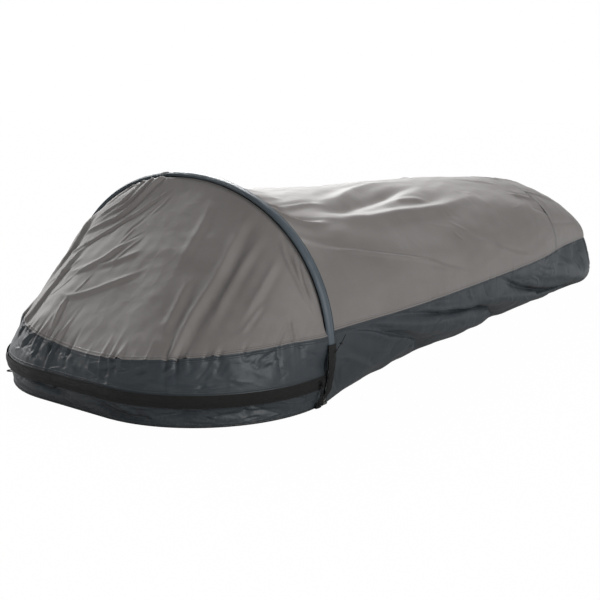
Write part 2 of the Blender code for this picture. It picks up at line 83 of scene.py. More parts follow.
# half widths at the floor and at the seam, and ridge height, against the distance behind the hoop
floorStations = ((0.0, 0.3840), (0.15, 0.345), (0.40, 0.305), (0.70, 0.275), (1.10, 0.250), (1.75, 0.225))
seamStations = ((0.0, 0.3985), (0.15, 0.401), (0.35, 0.397), (0.60, 0.379), (0.95, 0.347), (1.20, 0.315),
                (1.45, 0.264), (1.75, 0.224))
ridgeStations = ((0.0, 0.4535), (0.05, 0.437), (0.10, 0.422), (0.18, 0.410), (0.30, 0.402), (0.50, 0.394),
                 (0.90, 0.391), (1.20, 0.380), (1.80, 0.365))


# ---- shape of the sewn shell
def stationSlope(stations, i):
    if i == 0 or i == len(stations) - 1:
        j = min(max(i, 1), len(stations) - 1)
        return (stations[j][1] - stations[j - 1][1]) / (stations[j][0] - stations[j - 1][0])
    return (stations[i + 1][1] - stations[i - 1][1]) / (stations[i + 1][0] - stations[i - 1][0])


def smoothThrough(stations, at):
    if at <= stations[0][0]:
        return stations[0][1]
    i = 0
    while i < len(stations) - 2 and at > stations[i + 1][0]:
        i += 1
    (a, va), (b, vb) = stations[i], stations[i + 1]
    span = b - a
    t = (at - a) / span
    return ((2 * t ** 3 - 3 * t ** 2 + 1) * va + (t ** 3 - 2 * t ** 2 + t) * span * stationSlope(stations, i)
            + (-2 * t ** 3 + 3 * t ** 2) * vb + (t ** 3 - t ** 2) * span * stationSlope(stations, i + 1))


def smoothStep(t):
    t = min(max(t, 0.0), 1.0)
    return t * t * (3 - 2 * t)


def hoopPoint(angle, inset=0.0):
    rise = max(sin(angle), 0.0)
    x = cos(angle) * (sack['hoopHalf'] - inset + sack['hoopBulge'] * rise)
    return Vector((x, 0.0, (sack['hoopHeight'] - inset) * rise ** sack['hoopPower']))


def hoopAngleAt(height, inset=0.0):
    return asin((height / (sack['hoopHeight'] - inset)) ** (1 / sack['hoopPower']))


def hoopNormal(angle, inset=0.0):
    step = 0.001
    along = hoopPoint(angle + step, inset) - hoopPoint(angle - step, inset)
    along.normalize()
    return Vector((along.z, 0, -along.x))


def frontPlan(t, outset, hoopGap):
    radius = sack['frontRadius'] + outset
    startAngle = asin((-hoopGap - sack['frontY']) / radius)
    arcLength = radius * (startAngle + pi / 2)
    halfLength = arcLength + sack['frontX']
    side = 1 if t <= 0.5 else -1
    run = (t if t <= 0.5 else 1 - t) * 2 * halfLength
    if run < arcLength:
        angle = startAngle - run / radius
        x = sack['frontX'] + radius * cos(angle)
        return Vector((side * x, sack['frontY'] + radius * sin(angle), 0))
    return Vector((side * (halfLength - run), sack['frontY'] - radius, 0))


# how the door's seam sags and leans in between the two feet of the pole, from right to left
doorSeam = {
    'height': ((0.0, 0.149), (0.10, 0.147), (0.20, 0.141), (0.31, 0.131), (0.40, 0.122), (0.48, 0.119), (0.58, 0.124),
               (0.76, 0.141), (0.90, 0.150), (1.0, 0.153)),
    'lean': ((0.0, 0.0), (0.44, 0.002), (0.62, 0.018), (0.78, 0.024), (0.90, 0.020), (1.0, 0.018)),
    'leanPower': 1.25,
    'flareRun': 0.085,
    'flareInset': 0.004,
    'flareLow': 0.066,
    'flareHigh': 0.125,
}


def frontOutset(u, height, hoopGap):
    if height < sack['zipHeight']:
        return sack['zipOut'] * smoothStep(height / sack['zipHeight'])
    top = smoothThrough(doorSeam['height'], u)
    share = min((height - sack['zipHeight']) / (top - sack['zipHeight']), 1.0)
    inward = sack['zipOut'] + sack['doorLean'] + smoothThrough(doorSeam['lean'], u)
    outset = sack['zipOut'] - inward * share ** doorSeam['leanPower']
    edge = hoopPoint(hoopAngleAt(height)).x - doorSeam['flareInset'] - sack['frontX']
    atHoop = sqrt(edge ** 2 + (hoopGap + sack['frontY']) ** 2) - sack['frontRadius']
    flare = smoothStep(1 - min(u, 1 - u) / doorSeam['flareRun'])
    flare *= smoothStep((height - doorSeam['flareLow']) / (doorSeam['flareHigh'] - doorSeam['flareLow']))
    return outset + (atHoop - outset) * flare


def frontSurface(u, height, hoopGap=sack['rimGap']):
    return frontPlan(u, frontOutset(u, height, hoopGap), hoopGap) + Vector((0, 0, height))


# valleys of the side walls, (distance behind the hoop, height share), from the seam down to the floor
valleys = (
    ((0.02, 1.0), (0.12, 0.90), (0.23, 0.71), (0.345, 0.49), (0.42, 0.34), (0.50, 0.0)),
    ((0.22, 1.0), (0.43, 0.77), (0.55, 0.67), (0.69, 0.58), (0.84, 0.38), (0.98, 0.0)),
    ((0.80, 1.0), (0.95, 0.70), (1.03, 0.56), (1.25, 0.27), (1.50, 0.12), (1.58, 0.0)),
)
lobes = {'swell': (0.006, 0.036, 0.031, 0.030), 'valleyDepth': 0.009, 'valleyWidth': 0.022, 'powerAlong': 0.75,
         'pastCorner': 0.13, 'powerUp': 0.62, 'belly': 0.010, 'bellyRun': 0.3}


def valleyAt(path, level):
    for (ya, la), (yb, lb) in zip(path, path[1:]):
        if level >= lb:
            return ya + (yb - ya) * (la - level) / (la - lb)
    return path[-1][0]


def wallSwell(y, level):
    marks = [0.0] + [valleyAt(path, level) for path in valleys] + [cornerY + lobes['pastCorner']]
    low = sin(pi * level ** lobes['powerUp'])
    swell = 0.0
    for i, (a, b) in enumerate(zip(marks, marks[1:])):
        if a <= y <= b and b > a:
            swell = lobes['swell'][i] * sin(pi * (y - a) / (b - a)) ** lobes['powerAlong'] * low
    for mark in marks[1:-1]:
        swell -= lobes['valleyDepth'] * np.exp(-((y - mark) / lobes['valleyWidth']) ** 2) * low
    return swell + lobes['belly'] * sin(pi * level) * smoothStep(y / lobes['bellyRun'])


def sideHalf(y, level, shaped=True):
    low = smoothThrough(floorStations, y)
    high = smoothThrough(seamStations, y)
    return low + (high - low) * level ** sack['wallPower'] + (wallSwell(y, level) if shaped else 0.0)


def footPlan(t, level):
    half = sideHalf(cornerY, level)
    reach = sack['footCorner'] + sack['footBulge'] * max(sin(pi * level), 0.0) ** sack['footBulgePower']
    flat = half - sack['footCorner']
    quarter = sack['cornerShare']
    if t < quarter:
        angle = t / quarter * pi / 2
        return Vector((flat + sack['footCorner'] * cos(angle), cornerY + reach * sin(angle), 0))
    if t > 1 - quarter:
        angle = (1 - t) / quarter * pi / 2
        return Vector((-flat - sack['footCorner'] * cos(angle), cornerY + reach * sin(angle), 0))
    return Vector((flat * (1 - 2 * (t - quarter) / (1 - 2 * quarter)), cornerY + reach, 0))


def seamHalf(y):
    if y <= cornerY:
        return sideHalf(y, 1, False)
    part = min((y - cornerY) / sack['footCorner'], 1)
    return sideHalf(cornerY, 1, False) - sack['footCorner'] * (1 - sqrt(1 - part * part))


def ridgeHeight(y):
    height = smoothThrough(ridgeStations, y)
    if y > sack['roundStart']:
        part = min((y - sack['roundStart']) / (sack['length'] - sack['roundStart']), 1)
        power = sack['roundPower']
        height = sack['seamHeight'] + (height - sack['seamHeight']) * (1 - part ** power) ** (1 / power)
    return height


def canopyPoint(y, across):
    low = sack['seamHeight']
    angle = across * pi
    rise = max(ridgeHeight(y) - low, 0.0)
    body = Vector((seamHalf(y) * cos(angle), 0, low + rise * max(sin(angle), 0.0) ** sack['crownPower']))
    startAngle = hoopAngleAt(low, sack['sleeveInset'])
    arch = hoopPoint(startAngle + (pi - 2 * startAngle) * across, sack['sleeveInset'])
    arch.z = low + (arch.z - low) * rise / (sack['hoopHeight'] - sack['sleeveInset'] - low)
    point = arch.lerp(body, smoothStep(y / sack['archBlend']))
    point.y = y
    return point


# ---- cloth sheets: grids of points with folds pressed into them
def gridOf(place, rows, columns):
    return np.array([[tuple(place(u, v)) for u in np.linspace(0, 1, columns)]
                     for v in np.linspace(0, 1, rows)])


def outwardOf(points):
    outward = np.cross(np.gradient(points, axis=1), np.gradient(points, axis=0))
    return outward / np.maximum(np.linalg.norm(outward, axis=-1, keepdims=True), 1e-12)


def sample(points, u, v):
    rows, columns = points.shape[:2]
    x = min(max(u, 0.0), 1.0) * (columns - 1)
    y = min(max(v, 0.0), 1.0) * (rows - 1)
    i, j = min(int(x), columns - 2), min(int(y), rows - 2)
    fx, fy = x - i, y - j
    near = points[j, i] * (1 - fx) + points[j, i + 1] * fx
    far = points[j + 1, i] * (1 - fx) + points[j + 1, i + 1] * fx
    return near * (1 - fy) + far * fy


def throughPath(path, steps):
    path = [np.array(p, float) for p in path]
    padded = [path[0] * 2 - path[1], *path, path[-1] * 2 - path[-2]]
    made = []
    for i in range(len(path) - 1):
        a, b, c, d = padded[i:i + 4]
        for t in np.linspace(0, 1, steps, endpoint=False):
            made.append(0.5 * (2 * b + (c - a) * t + (2 * a - 5 * b + 4 * c - d) * t * t
                               + (3 * b - a - 3 * c + d) * t ** 3))
    made.append(path[-1])
    return made


foldShape = {'margin': 4, 'edge': 0.03, 'rise': 0.3, 'fall': 0.4, 'decay': 1.8, 'leanAt': 1.8}


def foldsFrom(rows):
    # each row: height and half width in mm, sharpness, lean, then the places in the cloth it runs through
    return [(route, high / 1000, wide / 1000, sharp, lean) for high, wide, sharp, lean, *route in rows]


def reachesEdge(place):
    return 1.0 if place[1] < foldShape['edge'] or place[1] > 1 - foldShape['edge'] else 0.0


def foldField(points, normals, folds):
    flat = points.reshape(-1, 3)
    facing = normals.reshape(-1, 3)
    field = np.zeros(len(flat))
    for path, height, width, sharp, lean in folds:
        route = throughPath(path, max(2, 16 // (len(path) - 1)))
        line = np.array([sample(points, u, v) for u, v in route])
        margin = foldShape['margin'] * width
        near = np.all((flat > line.min(axis=0) - margin) & (flat < line.max(axis=0) + margin), axis=1)
        if not near.any():
            continue
        here = flat[near]
        starts, ends = line[:-1], line[1:]
        spans = ends - starts
        lengths = np.maximum(np.linalg.norm(spans, axis=1), 1e-9)
        reach = np.concatenate([[0], np.cumsum(lengths)])
        offset = here[:, None] - starts[None]
        t = np.clip((offset * spans[None]).sum(-1) / lengths ** 2, 0, 1)
        away = offset - t[..., None] * spans[None]
        gaps = np.linalg.norm(away, axis=-1)
        best = gaps.argmin(axis=1)
        pick = np.arange(len(here))
        gap = gaps[pick, best]
        side = np.sign((np.cross(spans[best], away[pick, best]) * facing[near]).sum(-1))
        share = (reach[best] + t[pick, best] * lengths[best]) / reach[-1]
        rise = np.maximum(np.clip(share / foldShape['rise'], 0, 1), reachesEdge(path[0]))
        fall = np.maximum(np.clip((1 - share) / foldShape['fall'], 0, 1), reachesEdge(path[-1]))
        taper = (rise * rise * (3 - 2 * rise)) * (fall * fall * (3 - 2 * fall))
        a = gap * side / width
        profile = (1 - sharp) * np.exp(-a * a) + sharp * np.exp(-foldShape['decay'] * np.abs(a))
        profile -= lean * np.exp(-(a - foldShape['leanAt']) ** 2)
        field[near] += height * taper * profile
    return field.reshape(points.shape[:2])


def ripple(points, seed, size, height, stretch=(1, 1, 1), waves=14):
    draw = np.random.default_rng(seed)
    field = np.zeros(points.shape[:2])
    for k in range(waves):
        way = draw.normal(size=3) * np.array(stretch)
        way = way / np.linalg.norm(way)
        field += np.sin(points @ way * (2 * pi / size * draw.uniform(0.6, 1.6)) + draw.uniform(0, 2 * pi))
    return field * height / 3.7   # about the root of the number of waves


def metresAcross(points):
    steps = np.linalg.norm(np.diff(points, axis=1), axis=-1)
    across = np.concatenate([np.zeros((len(points), 1)), np.cumsum(steps, axis=1)], axis=1)
    rise = np.linalg.norm(np.diff(points, axis=0), axis=-1)
    up = np.concatenate([np.zeros((1, points.shape[1])), np.cumsum(rise, axis=0)], axis=0)
    return across, up


lowHigh, leftRight = ('low', 'high'), ('left', 'right')
allRound = leftRight + lowHigh


def seamDistance(across, up, sewn):
    wide, tall = across[:, -1:], up[-1:, :]
    choices = {'left': (across, up), 'right': (wide - across, up), 'low': (up, across),
               'high': (tall - up, across)}
    gap = np.full(across.shape, 9.0)
    run = np.zeros(across.shape)
    for edge in sewn:
        distance, along = choices[edge]
        nearer = distance < gap
        gap = np.where(nearer, distance, gap)
        run = np.where(nearer, along, run)
    return gap, run


def addObject(name, data):
    made = bpy.data.objects.new(name, data)
    bpy.context.collection.objects.link(made)
    return made


def meshPiece(name, places, faces, metres, seams):
    # metres: each point's place on the flat cloth; seams: its distance from and along the nearest sewn edge
    mesh = bpy.data.meshes.new(name)
    mesh.from_pydata(places.tolist(), [], faces)
    corners = np.zeros(len(mesh.loops), np.int32)
    mesh.loops.foreach_get('vertex_index', corners)
    flatMap = mesh.uv_layers.new(name='clothMetres')
    flatMap.data.foreach_set('uv', metres[corners].astype(np.float32).ravel())
    for label, values in zip(('fromSeam', 'alongSeam'), seams):
        layer = mesh.attributes.new(label, 'FLOAT', 'POINT')
        layer.data.foreach_set('value', values.astype(np.float32).ravel())
    rest = mesh.attributes.new('restPlace', 'FLOAT_VECTOR', 'POINT')
    rest.data.foreach_set('vector', places.astype(np.float32).ravel())
    mesh.shade_smooth()
    return addObject(name, mesh)


def clothMesh(name, points, flip, sewn=lowHigh):
    rows, columns = points.shape[:2]
    faces = []
    for j in range(rows - 1):
        for i in range(columns - 1):
            a = j * columns + i
            face = (a, a + 1, a + columns + 1, a + columns)
            faces.append(face[::-1] if flip else face)
    across, up = metresAcross(points)
    metres = np.stack([across.ravel(), up.ravel()], axis=-1)
    return meshPiece(name, (points + np.array((0, hoopY, 0))).reshape(-1, 3), faces, metres,
                     seamDistance(across, up, sewn))


creaseShape = {'bow': 0.12, 'sharp': 0.65, 'lean': 0.3}


def scatterFolds(plan):
    # short creases strewn over a cloth, in the form that foldField takes
    draw = np.random.default_rng(plan['seed'])
    folds = []
    for k in range(plan['count']):
        u, v = draw.uniform(*plan['u']), draw.uniform(*plan['v'])
        turn = draw.normal(plan['turn'], plan['spread'])
        reach = draw.uniform(*plan['reach'])
        stepU, stepV = reach * cos(turn) / plan['size'][0], reach * sin(turn) / plan['size'][1]
        bow = draw.normal(0, creaseShape['bow'])
        path = [(u - stepU, v - stepV), (u - bow * stepV, v + bow * stepU), (u + stepU, v + stepV)]
        path = [(min(max(a, 0.0), 1.0), min(max(b, 0.0), 1.0)) for a, b in path]
        height = draw.uniform(*plan['height']) * draw.choice([-1, 1])
        folds.append((path, height, draw.uniform(*plan['width']), creaseShape['sharp'],
                      creaseShape['lean'] * np.sign(height)))
    return folds


def edgeMask(points, width, edges=lowHigh):
    gap = seamDistance(*metresAcross(points), edges)[0]
    t = np.clip(gap / width, 0, 1)
    return t * t * (3 - 2 * t)


def fade(points, steps):
    # 0 on the named edges, 1 beyond the given widths
    field = 1.0
    for width, edges in steps:
        field = field * edgeMask(points, width, edges)
    return field


def pressField(points, outward, folds, plan, seed):
    # how far the folds and ripples of one cloth push it outward, in metres
    field = foldField(points, outward, folds)
    if 'depth' in plan:
        field = field * np.where(field > 0, plan['depth']['out'], plan['depth']['in'])
    field = field * fade(points, plan['fade'])
    for k, (size, height, stretch, steps) in enumerate(plan['ripples']):
        field += ripple(points, seed + k, size, height, stretch) * fade(points, steps)
    return field


def puckers(seed, count, low, high, tall, wide):
    draw = np.random.default_rng(seed)
    marks = np.sort(draw.uniform(low, high, count))
    return [(mark, draw.uniform(-1, 1) * tall, draw.uniform(0.5, 1.4) * wide, draw.uniform(0.3, 1.5))
            for mark in marks]


def puckerField(along, gap, marks, reach):
    field = np.zeros(gap.shape)
    for mark, tall, wide, share in marks:
        fall = np.exp(-(gap / (reach * share)) ** 1.5)
        field += tall * np.exp(-((along - mark) / wide) ** 2) * fall
    return field


# ---- studio: camera, light and floor
studio = {
    'cameraAt': (1.5439, -2.2541, 0.6061),
    'aim': (0.0, -0.3097, 0.108),
    'lens': 58.61,
    'shiftX': 0.0027,
    'skyStrength': 0.21,
    'floorGlow': 0.06,
    'floorShade': 0.012,
    'floorSize': 60.0,
    'floorDrop': 0.0006,
}
white = (1, 1, 1, 1)
lamps = {
    'keySun': {'from': (-0.80, 0.70, 0.72), 'strength': 3.9, 'spread': 25},
    'sideSun': {'from': (1.0, -0.10, 0.36), 'strength': 1.4, 'spread': 28},
    'leftSun': {'from': (-1.0, 0.05, 0.36), 'strength': 1.0, 'spread': 25},
}


def setSockets(node, values):
    for label, value in values.items():
        node.inputs[label].default_value = value


def makeCamera():
    camera = addObject('studioCamera', bpy.data.cameras.new('studioCamera'))
    camera.location = studio['cameraAt']
    aim = Vector(studio['aim']) - camera.location
    camera.rotation_euler = aim.to_track_quat('-Z', 'Y').to_euler()
    camera.data.lens = studio['lens']
    camera.data.shift_x = studio['shiftX']
    bpy.context.scene.camera = camera


def makeLamps():
    for name, lamp in lamps.items():
        data = bpy.data.lights.new(name, 'SUN')
        data.energy = lamp['strength']
        data.angle = radians(lamp['spread'])
        light = addObject(name, data)
        light.rotation_euler = Vector(lamp['from']).to_track_quat('Z', 'Y').to_euler()


def makeSky():
    # the camera sees white, and a dimmer sky lights the sack
    world = bpy.data.worlds.new('studioSky')
    world.use_nodes = True
    bpy.context.scene.world = world
    nodes, links = world.node_tree.nodes, world.node_tree.links
    setSockets(nodes['Background'], {'Color': white, 'Strength': studio['skyStrength']})
    bright = nodes.new('ShaderNodeBackground')
    setSockets(bright, {'Color': white, 'Strength': 1.0})
    path, pick = nodes.new('ShaderNodeLightPath'), nodes.new('ShaderNodeMixShader')
    links.new(path.outputs['Is Camera Ray'], pick.inputs[0])
    links.new(nodes['Background'].outputs[0], pick.inputs[1])
    links.new(bright.outputs[0], pick.inputs[2])
    links.new(pick.outputs[0], nodes['World Output'].inputs['Surface'])
    bpy.context.scene.view_settings.view_transform = 'Standard'


def makeFloor():
    half = studio['floorSize'] / 2
    mesh = bpy.data.meshes.new('studioFloor')
    mesh.from_pydata([(-half, -half, 0), (half, -half, 0), (half, half, 0), (-half, half, 0)], [], [(0, 1, 2, 3)])
    floor = addObject('studioFloor', mesh)
    floor.location.z = -studio['floorDrop']
    paint = bpy.data.materials.new('paleFloor')
    paint.use_nodes = True
    nodes, links = paint.node_tree.nodes, paint.node_tree.links
    shader = nodes['Principled BSDF']
    setSockets(shader, {'Base Color': (0.55, 0.55, 0.55, 1), 'Roughness': 0.9, 'Specular IOR Level': 0.1,
                        'Emission Color': white, 'Emission Strength': studio['floorGlow']})
    seen, glow = nodes.new('ShaderNodeLightPath'), nodes.new('ShaderNodeEmission')
    glow.inputs['Color'].default_value = white
    share, mixed = nodes.new('ShaderNodeMath'), nodes.new('ShaderNodeMixShader')
    share.operation = 'MULTIPLY'
    share.inputs[1].default_value = 1 - studio['floorShade']
    links.new(seen.outputs['Is Camera Ray'], share.inputs[0])
    links.new(share.outputs[0], mixed.inputs[0])
    links.new(shader.outputs[0], mixed.inputs[1])
    links.new(glow.outputs[0], mixed.inputs[2])
    links.new(mixed.outputs[0], nodes['Material Output'].inputs['Surface'])
    mesh.materials.append(paint)


makeCamera()
makeLamps()
makeSky()
makeFloor()
print('studio ready')


# ---- shared effects, as node groups
def newGroup(name, inputs, outputs):
    tree = bpy.data.node_groups.new(name, 'ShaderNodeTree')
    for label, kind, value in inputs:
        socket = tree.interface.new_socket(name=label, in_out='INPUT', socket_type='NodeSocket' + kind)
        if value is not None:
            socket.default_value = value
    for label, kind in outputs:
        tree.interface.new_socket(name=label, in_out='OUTPUT', socket_type='NodeSocket' + kind)
    return tree, tree.nodes.new('NodeGroupInput'), tree.nodes.new('NodeGroupOutput')


def mathNode(tree, operation, *values):
    node = tree.nodes.new('ShaderNodeMath')
    node.operation = operation
    for socket, value in zip(node.inputs, values):
        if isinstance(value, (int, float)):
            socket.default_value = value
        else:
            tree.links.new(value, socket)
    return node.outputs[0]


def noiseNode(tree, place, scale, detail=3.0, rough=0.55, warp=0.0):
    node = tree.nodes.new('ShaderNodeTexNoise')
    tree.links.new(place, node.inputs['Vector'])
    for label, value in (('Scale', scale), ('Detail', detail), ('Roughness', rough), ('Distortion', warp)):
        if isinstance(value, (int, float)):
            node.inputs[label].default_value = value
        else:
            tree.links.new(value, node.inputs[label])
    return node.outputs['Fac']


def rangeNode(tree, value, fromLow, fromHigh, toLow, toHigh, smooth=False):
    node = tree.nodes.new('ShaderNodeMapRange')
    node.interpolation_type = 'SMOOTHSTEP' if smooth else 'LINEAR'
    tree.links.new(value, node.inputs['Value'])
    for label, number in (('From Min', fromLow), ('From Max', fromHigh), ('To Min', toLow), ('To Max', toHigh)):
        node.inputs[label].default_value = number
    return node.outputs['Result']


def makeWeaveGroup():
    # crossed threads, with slubs that run along them
    tree, start, end = newGroup('threadWeave', (('Place', 'Vector', None), ('Threads', 'Float', 900.0),
                                                ('Slub', 'Float', 0.5)), (('Height', 'Float'), ('Tone', 'Float')))
    split = tree.nodes.new('ShaderNodeSeparateXYZ')
    tree.links.new(start.outputs['Place'], split.inputs[0])
    waves = []
    for axis in ('X', 'Y'):
        turn = mathNode(tree, 'MULTIPLY', split.outputs[axis], start.outputs['Threads'])
        waves.append(mathNode(tree, 'SINE', mathNode(tree, 'MULTIPLY', turn, 2 * pi)))
    cross = mathNode(tree, 'MULTIPLY', waves[0], waves[1])
    slubs = []
    for stretch in ((14, 900, 1), (900, 14, 1)):
        scaled = tree.nodes.new('ShaderNodeVectorMath')
        scaled.operation = 'MULTIPLY'
        tree.links.new(start.outputs['Place'], scaled.inputs[0])
        scaled.inputs[1].default_value = stretch
        slubs.append(noiseNode(tree, scaled.outputs[0], 1.0, 2.0))
    slub = mathNode(tree, 'MULTIPLY', mathNode(tree, 'ADD', slubs[0], slubs[1]), start.outputs['Slub'])
    height = mathNode(tree, 'ADD', mathNode(tree, 'MULTIPLY', cross, 0.25), slub)
    tree.links.new(height, end.inputs['Height'])
    tree.links.new(mathNode(tree, 'MULTIPLY', mathNode(tree, 'ADD', slubs[0], slubs[1]), 0.5), end.inputs['Tone'])
    return tree


def makeCrumpleGroup():
    # sharp little creases between flatter facets, at two sizes
    tree, start, end = newGroup('clothCrumple', (('Place', 'Vector', None), ('Size', 'Float', 12.0),
                                                 ('Patches', 'Float', 3.0)),
                                (('Height', 'Float'), ('Creases', 'Float')))
    bend = tree.nodes.new('ShaderNodeTexNoise')
    tree.links.new(start.outputs['Place'], bend.inputs['Vector'])
    bend.inputs['Scale'].default_value = 6.0
    push = tree.nodes.new('ShaderNodeVectorMath')
    push.operation = 'MULTIPLY_ADD'
    tree.links.new(bend.outputs['Color'], push.inputs[0])
    push.inputs[1].default_value = (0.10, 0.10, 0.10)
    tree.links.new(start.outputs['Place'], push.inputs[2])
    sums = []
    for factor, weight in ((1.0, 1.0), (2.7, 0.45)):
        cells = tree.nodes.new('ShaderNodeTexVoronoi')
        cells.feature = 'DISTANCE_TO_EDGE'
        tree.links.new(push.outputs[0], cells.inputs['Vector'])
        tree.links.new(mathNode(tree, 'MULTIPLY', start.outputs['Size'], factor), cells.inputs['Scale'])
        sums.append(mathNode(tree, 'MULTIPLY', rangeNode(tree, cells.outputs['Distance'], 0.0, 0.22, 1.0, 0.0, True),
                             weight))
    both = mathNode(tree, 'ADD', sums[0], sums[1])
    patch = noiseNode(tree, start.outputs['Place'], start.outputs['Patches'], 2.0)
    shown = mathNode(tree, 'MULTIPLY', both, rangeNode(tree, patch, 0.42, 0.62, 0.0, 1.0, True))
    tree.links.new(shown, end.inputs['Height'])
    tree.links.new(shown, end.inputs['Creases'])
    return tree


def makeStitchGroup():
    # a run of stitches beside a sewn edge, over a turned hem
    tree, start, end = newGroup('seamStitch', (('FromSeam', 'Float', 0.0), ('AlongSeam', 'Float', 0.0),
                                               ('Offset', 'Float', 0.004), ('Pitch', 'Float', 0.0032),
                                               ('Hem', 'Float', 0.008)), (('Stitches', 'Float'), ('Height', 'Float')))
    offset = mathNode(tree, 'ABSOLUTE', mathNode(tree, 'SUBTRACT', start.outputs['FromSeam'], start.outputs['Offset']))
    line = rangeNode(tree, offset, 0.0003, 0.0007, 1.0, 0.0, True)
    beat = mathNode(tree, 'FRACT', mathNode(tree, 'DIVIDE', start.outputs['AlongSeam'], start.outputs['Pitch']))
    fromMiddle = mathNode(tree, 'ABSOLUTE', mathNode(tree, 'SUBTRACT', beat, 0.5))
    dash = rangeNode(tree, fromMiddle, 0.30, 0.42, 1.0, 0.0, True)
    stitch = mathNode(tree, 'MULTIPLY', line, dash)
    edge = mathNode(tree, 'SUBTRACT', start.outputs['Hem'], start.outputs['FromSeam'])
    hem = rangeNode(tree, edge, -0.0006, 0.0006, 0.0, 1.0, True)
    dip = mathNode(tree, 'MULTIPLY', rangeNode(tree, offset, 0.0, 0.0022, 1.0, 0.0, True), -0.6)
    height = mathNode(tree, 'ADD', mathNode(tree, 'ADD', hem, dip), mathNode(tree, 'MULTIPLY', stitch, 0.5))
    tree.links.new(stitch, end.inputs['Stitches'])
    tree.links.new(height, end.inputs['Height'])
    return tree


def makeWearGroup():
    # slow changes of tone, and dust low down
    tree, start, end = newGroup('toneWear', (('Place', 'Vector', None), ('Scale', 'Float', 5.0),
                                             ('DustTop', 'Float', 0.05)), (('Tone', 'Float'), ('Dust', 'Float')))
    tone = noiseNode(tree, start.outputs['Place'], start.outputs['Scale'], 5.0, 0.6)
    fine = noiseNode(tree, start.outputs['Place'], 140.0, 3.0)
    split = tree.nodes.new('ShaderNodeSeparateXYZ')
    tree.links.new(start.outputs['Place'], split.inputs[0])
    low = mathNode(tree, 'SUBTRACT', 1.0, mathNode(tree, 'DIVIDE', split.outputs['Z'], start.outputs['DustTop']))
    dust = mathNode(tree, 'MULTIPLY', mathNode(tree, 'MAXIMUM', low, 0.0), rangeNode(tree, fine, 0.45, 0.75, 0.0, 1.0))
    tree.links.new(tone, end.inputs['Tone'])
    tree.links.new(dust, end.inputs['Dust'])
    return tree


weaveGroup, crumpleGroup = makeWeaveGroup(), makeCrumpleGroup()
stitchGroup, wearGroup = makeStitchGroup(), makeWearGroup()


def addGroup(tree, group, links=(), values=()):
    node = tree.nodes.new('ShaderNodeGroup')
    node.node_tree = group
    for label, source in links:
        tree.links.new(source, node.inputs[label])
    for label, value in values:
        node.inputs[label].default_value = value
    return node


def mixColour(tree, share, first, second):
    node = tree.nodes.new('ShaderNodeMix')
    node.data_type = 'RGBA'
    for socket, value in ((node.inputs[0], share), (node.inputs[6], first), (node.inputs[7], second)):
        if isinstance(value, tuple):
            socket.default_value = (*value, 1)
        elif isinstance(value, (int, float)):
            socket.default_value = value
        else:
            tree.links.new(value, socket)
    return node.outputs[2]


def bumpNode(tree, height, distance, strength=1.0, before=None):
    node = tree.nodes.new('ShaderNodeBump')
    node.inputs['Distance'].default_value = distance
    node.inputs['Strength'].default_value = strength
    tree.links.new(height, node.inputs['Height'])
    if before is not None:
        tree.links.new(before, node.inputs['Normal'])
    return node.outputs[0]


def attributeNode(tree, name):
    node = tree.nodes.new('ShaderNodeAttribute')
    node.attribute_name = name
    return node


def newPaint(name):
    paint = bpy.data.materials.new(name)
    paint.use_nodes = True
    return paint, paint.node_tree, paint.node_tree.nodes['Principled BSDF']


# base colours and finish of each cloth
clothBlend = {'slowTone': 0.7, 'weaveTone': 0.3, 'toneFrom': 0.36, 'toneTo': 0.66, 'dust': 0.25,
              'dustColour': (0.20, 0.18, 0.16), 'smoother': 0.05, 'rougher': 0.07, 'stitchRough': 0.2}
cloths = {
    'topCloth': {'colour': (0.210, 0.195, 0.187), 'pale': (0.244, 0.229, 0.221), 'rough': 0.56, 'sheen': 0.12,
                 'threads': 1100, 'weave': 0.00006, 'crumple': 0.0005, 'creaseSize': 9.0, 'patches': 4.0,
                 'thread': (0.100, 0.094, 0.090), 'specular': 0.35, 'hem': 0.0007},
    'tubCloth': {'colour': (0.036, 0.045, 0.053), 'pale': (0.046, 0.057, 0.066), 'rough': 0.47, 'sheen': 0.03,
                 'threads': 1300, 'weave': 0.00003, 'crumple': 0.0005, 'creaseSize': 7.0, 'patches': 3.0,
                 'thread': (0.022, 0.027, 0.031), 'specular': 0.45, 'hem': 0.0007},
    'sleeveCloth': {'colour': (0.078, 0.101, 0.121), 'pale': (0.108, 0.136, 0.160), 'rough': 0.45, 'sheen': 0.05,
                    'threads': 900, 'weave': 0.00008, 'crumple': 0.0004, 'creaseSize': 22.0, 'patches': 8.0,
                    'thread': (0.035, 0.045, 0.055), 'specular': 0.45, 'hem': 0.0004},
}


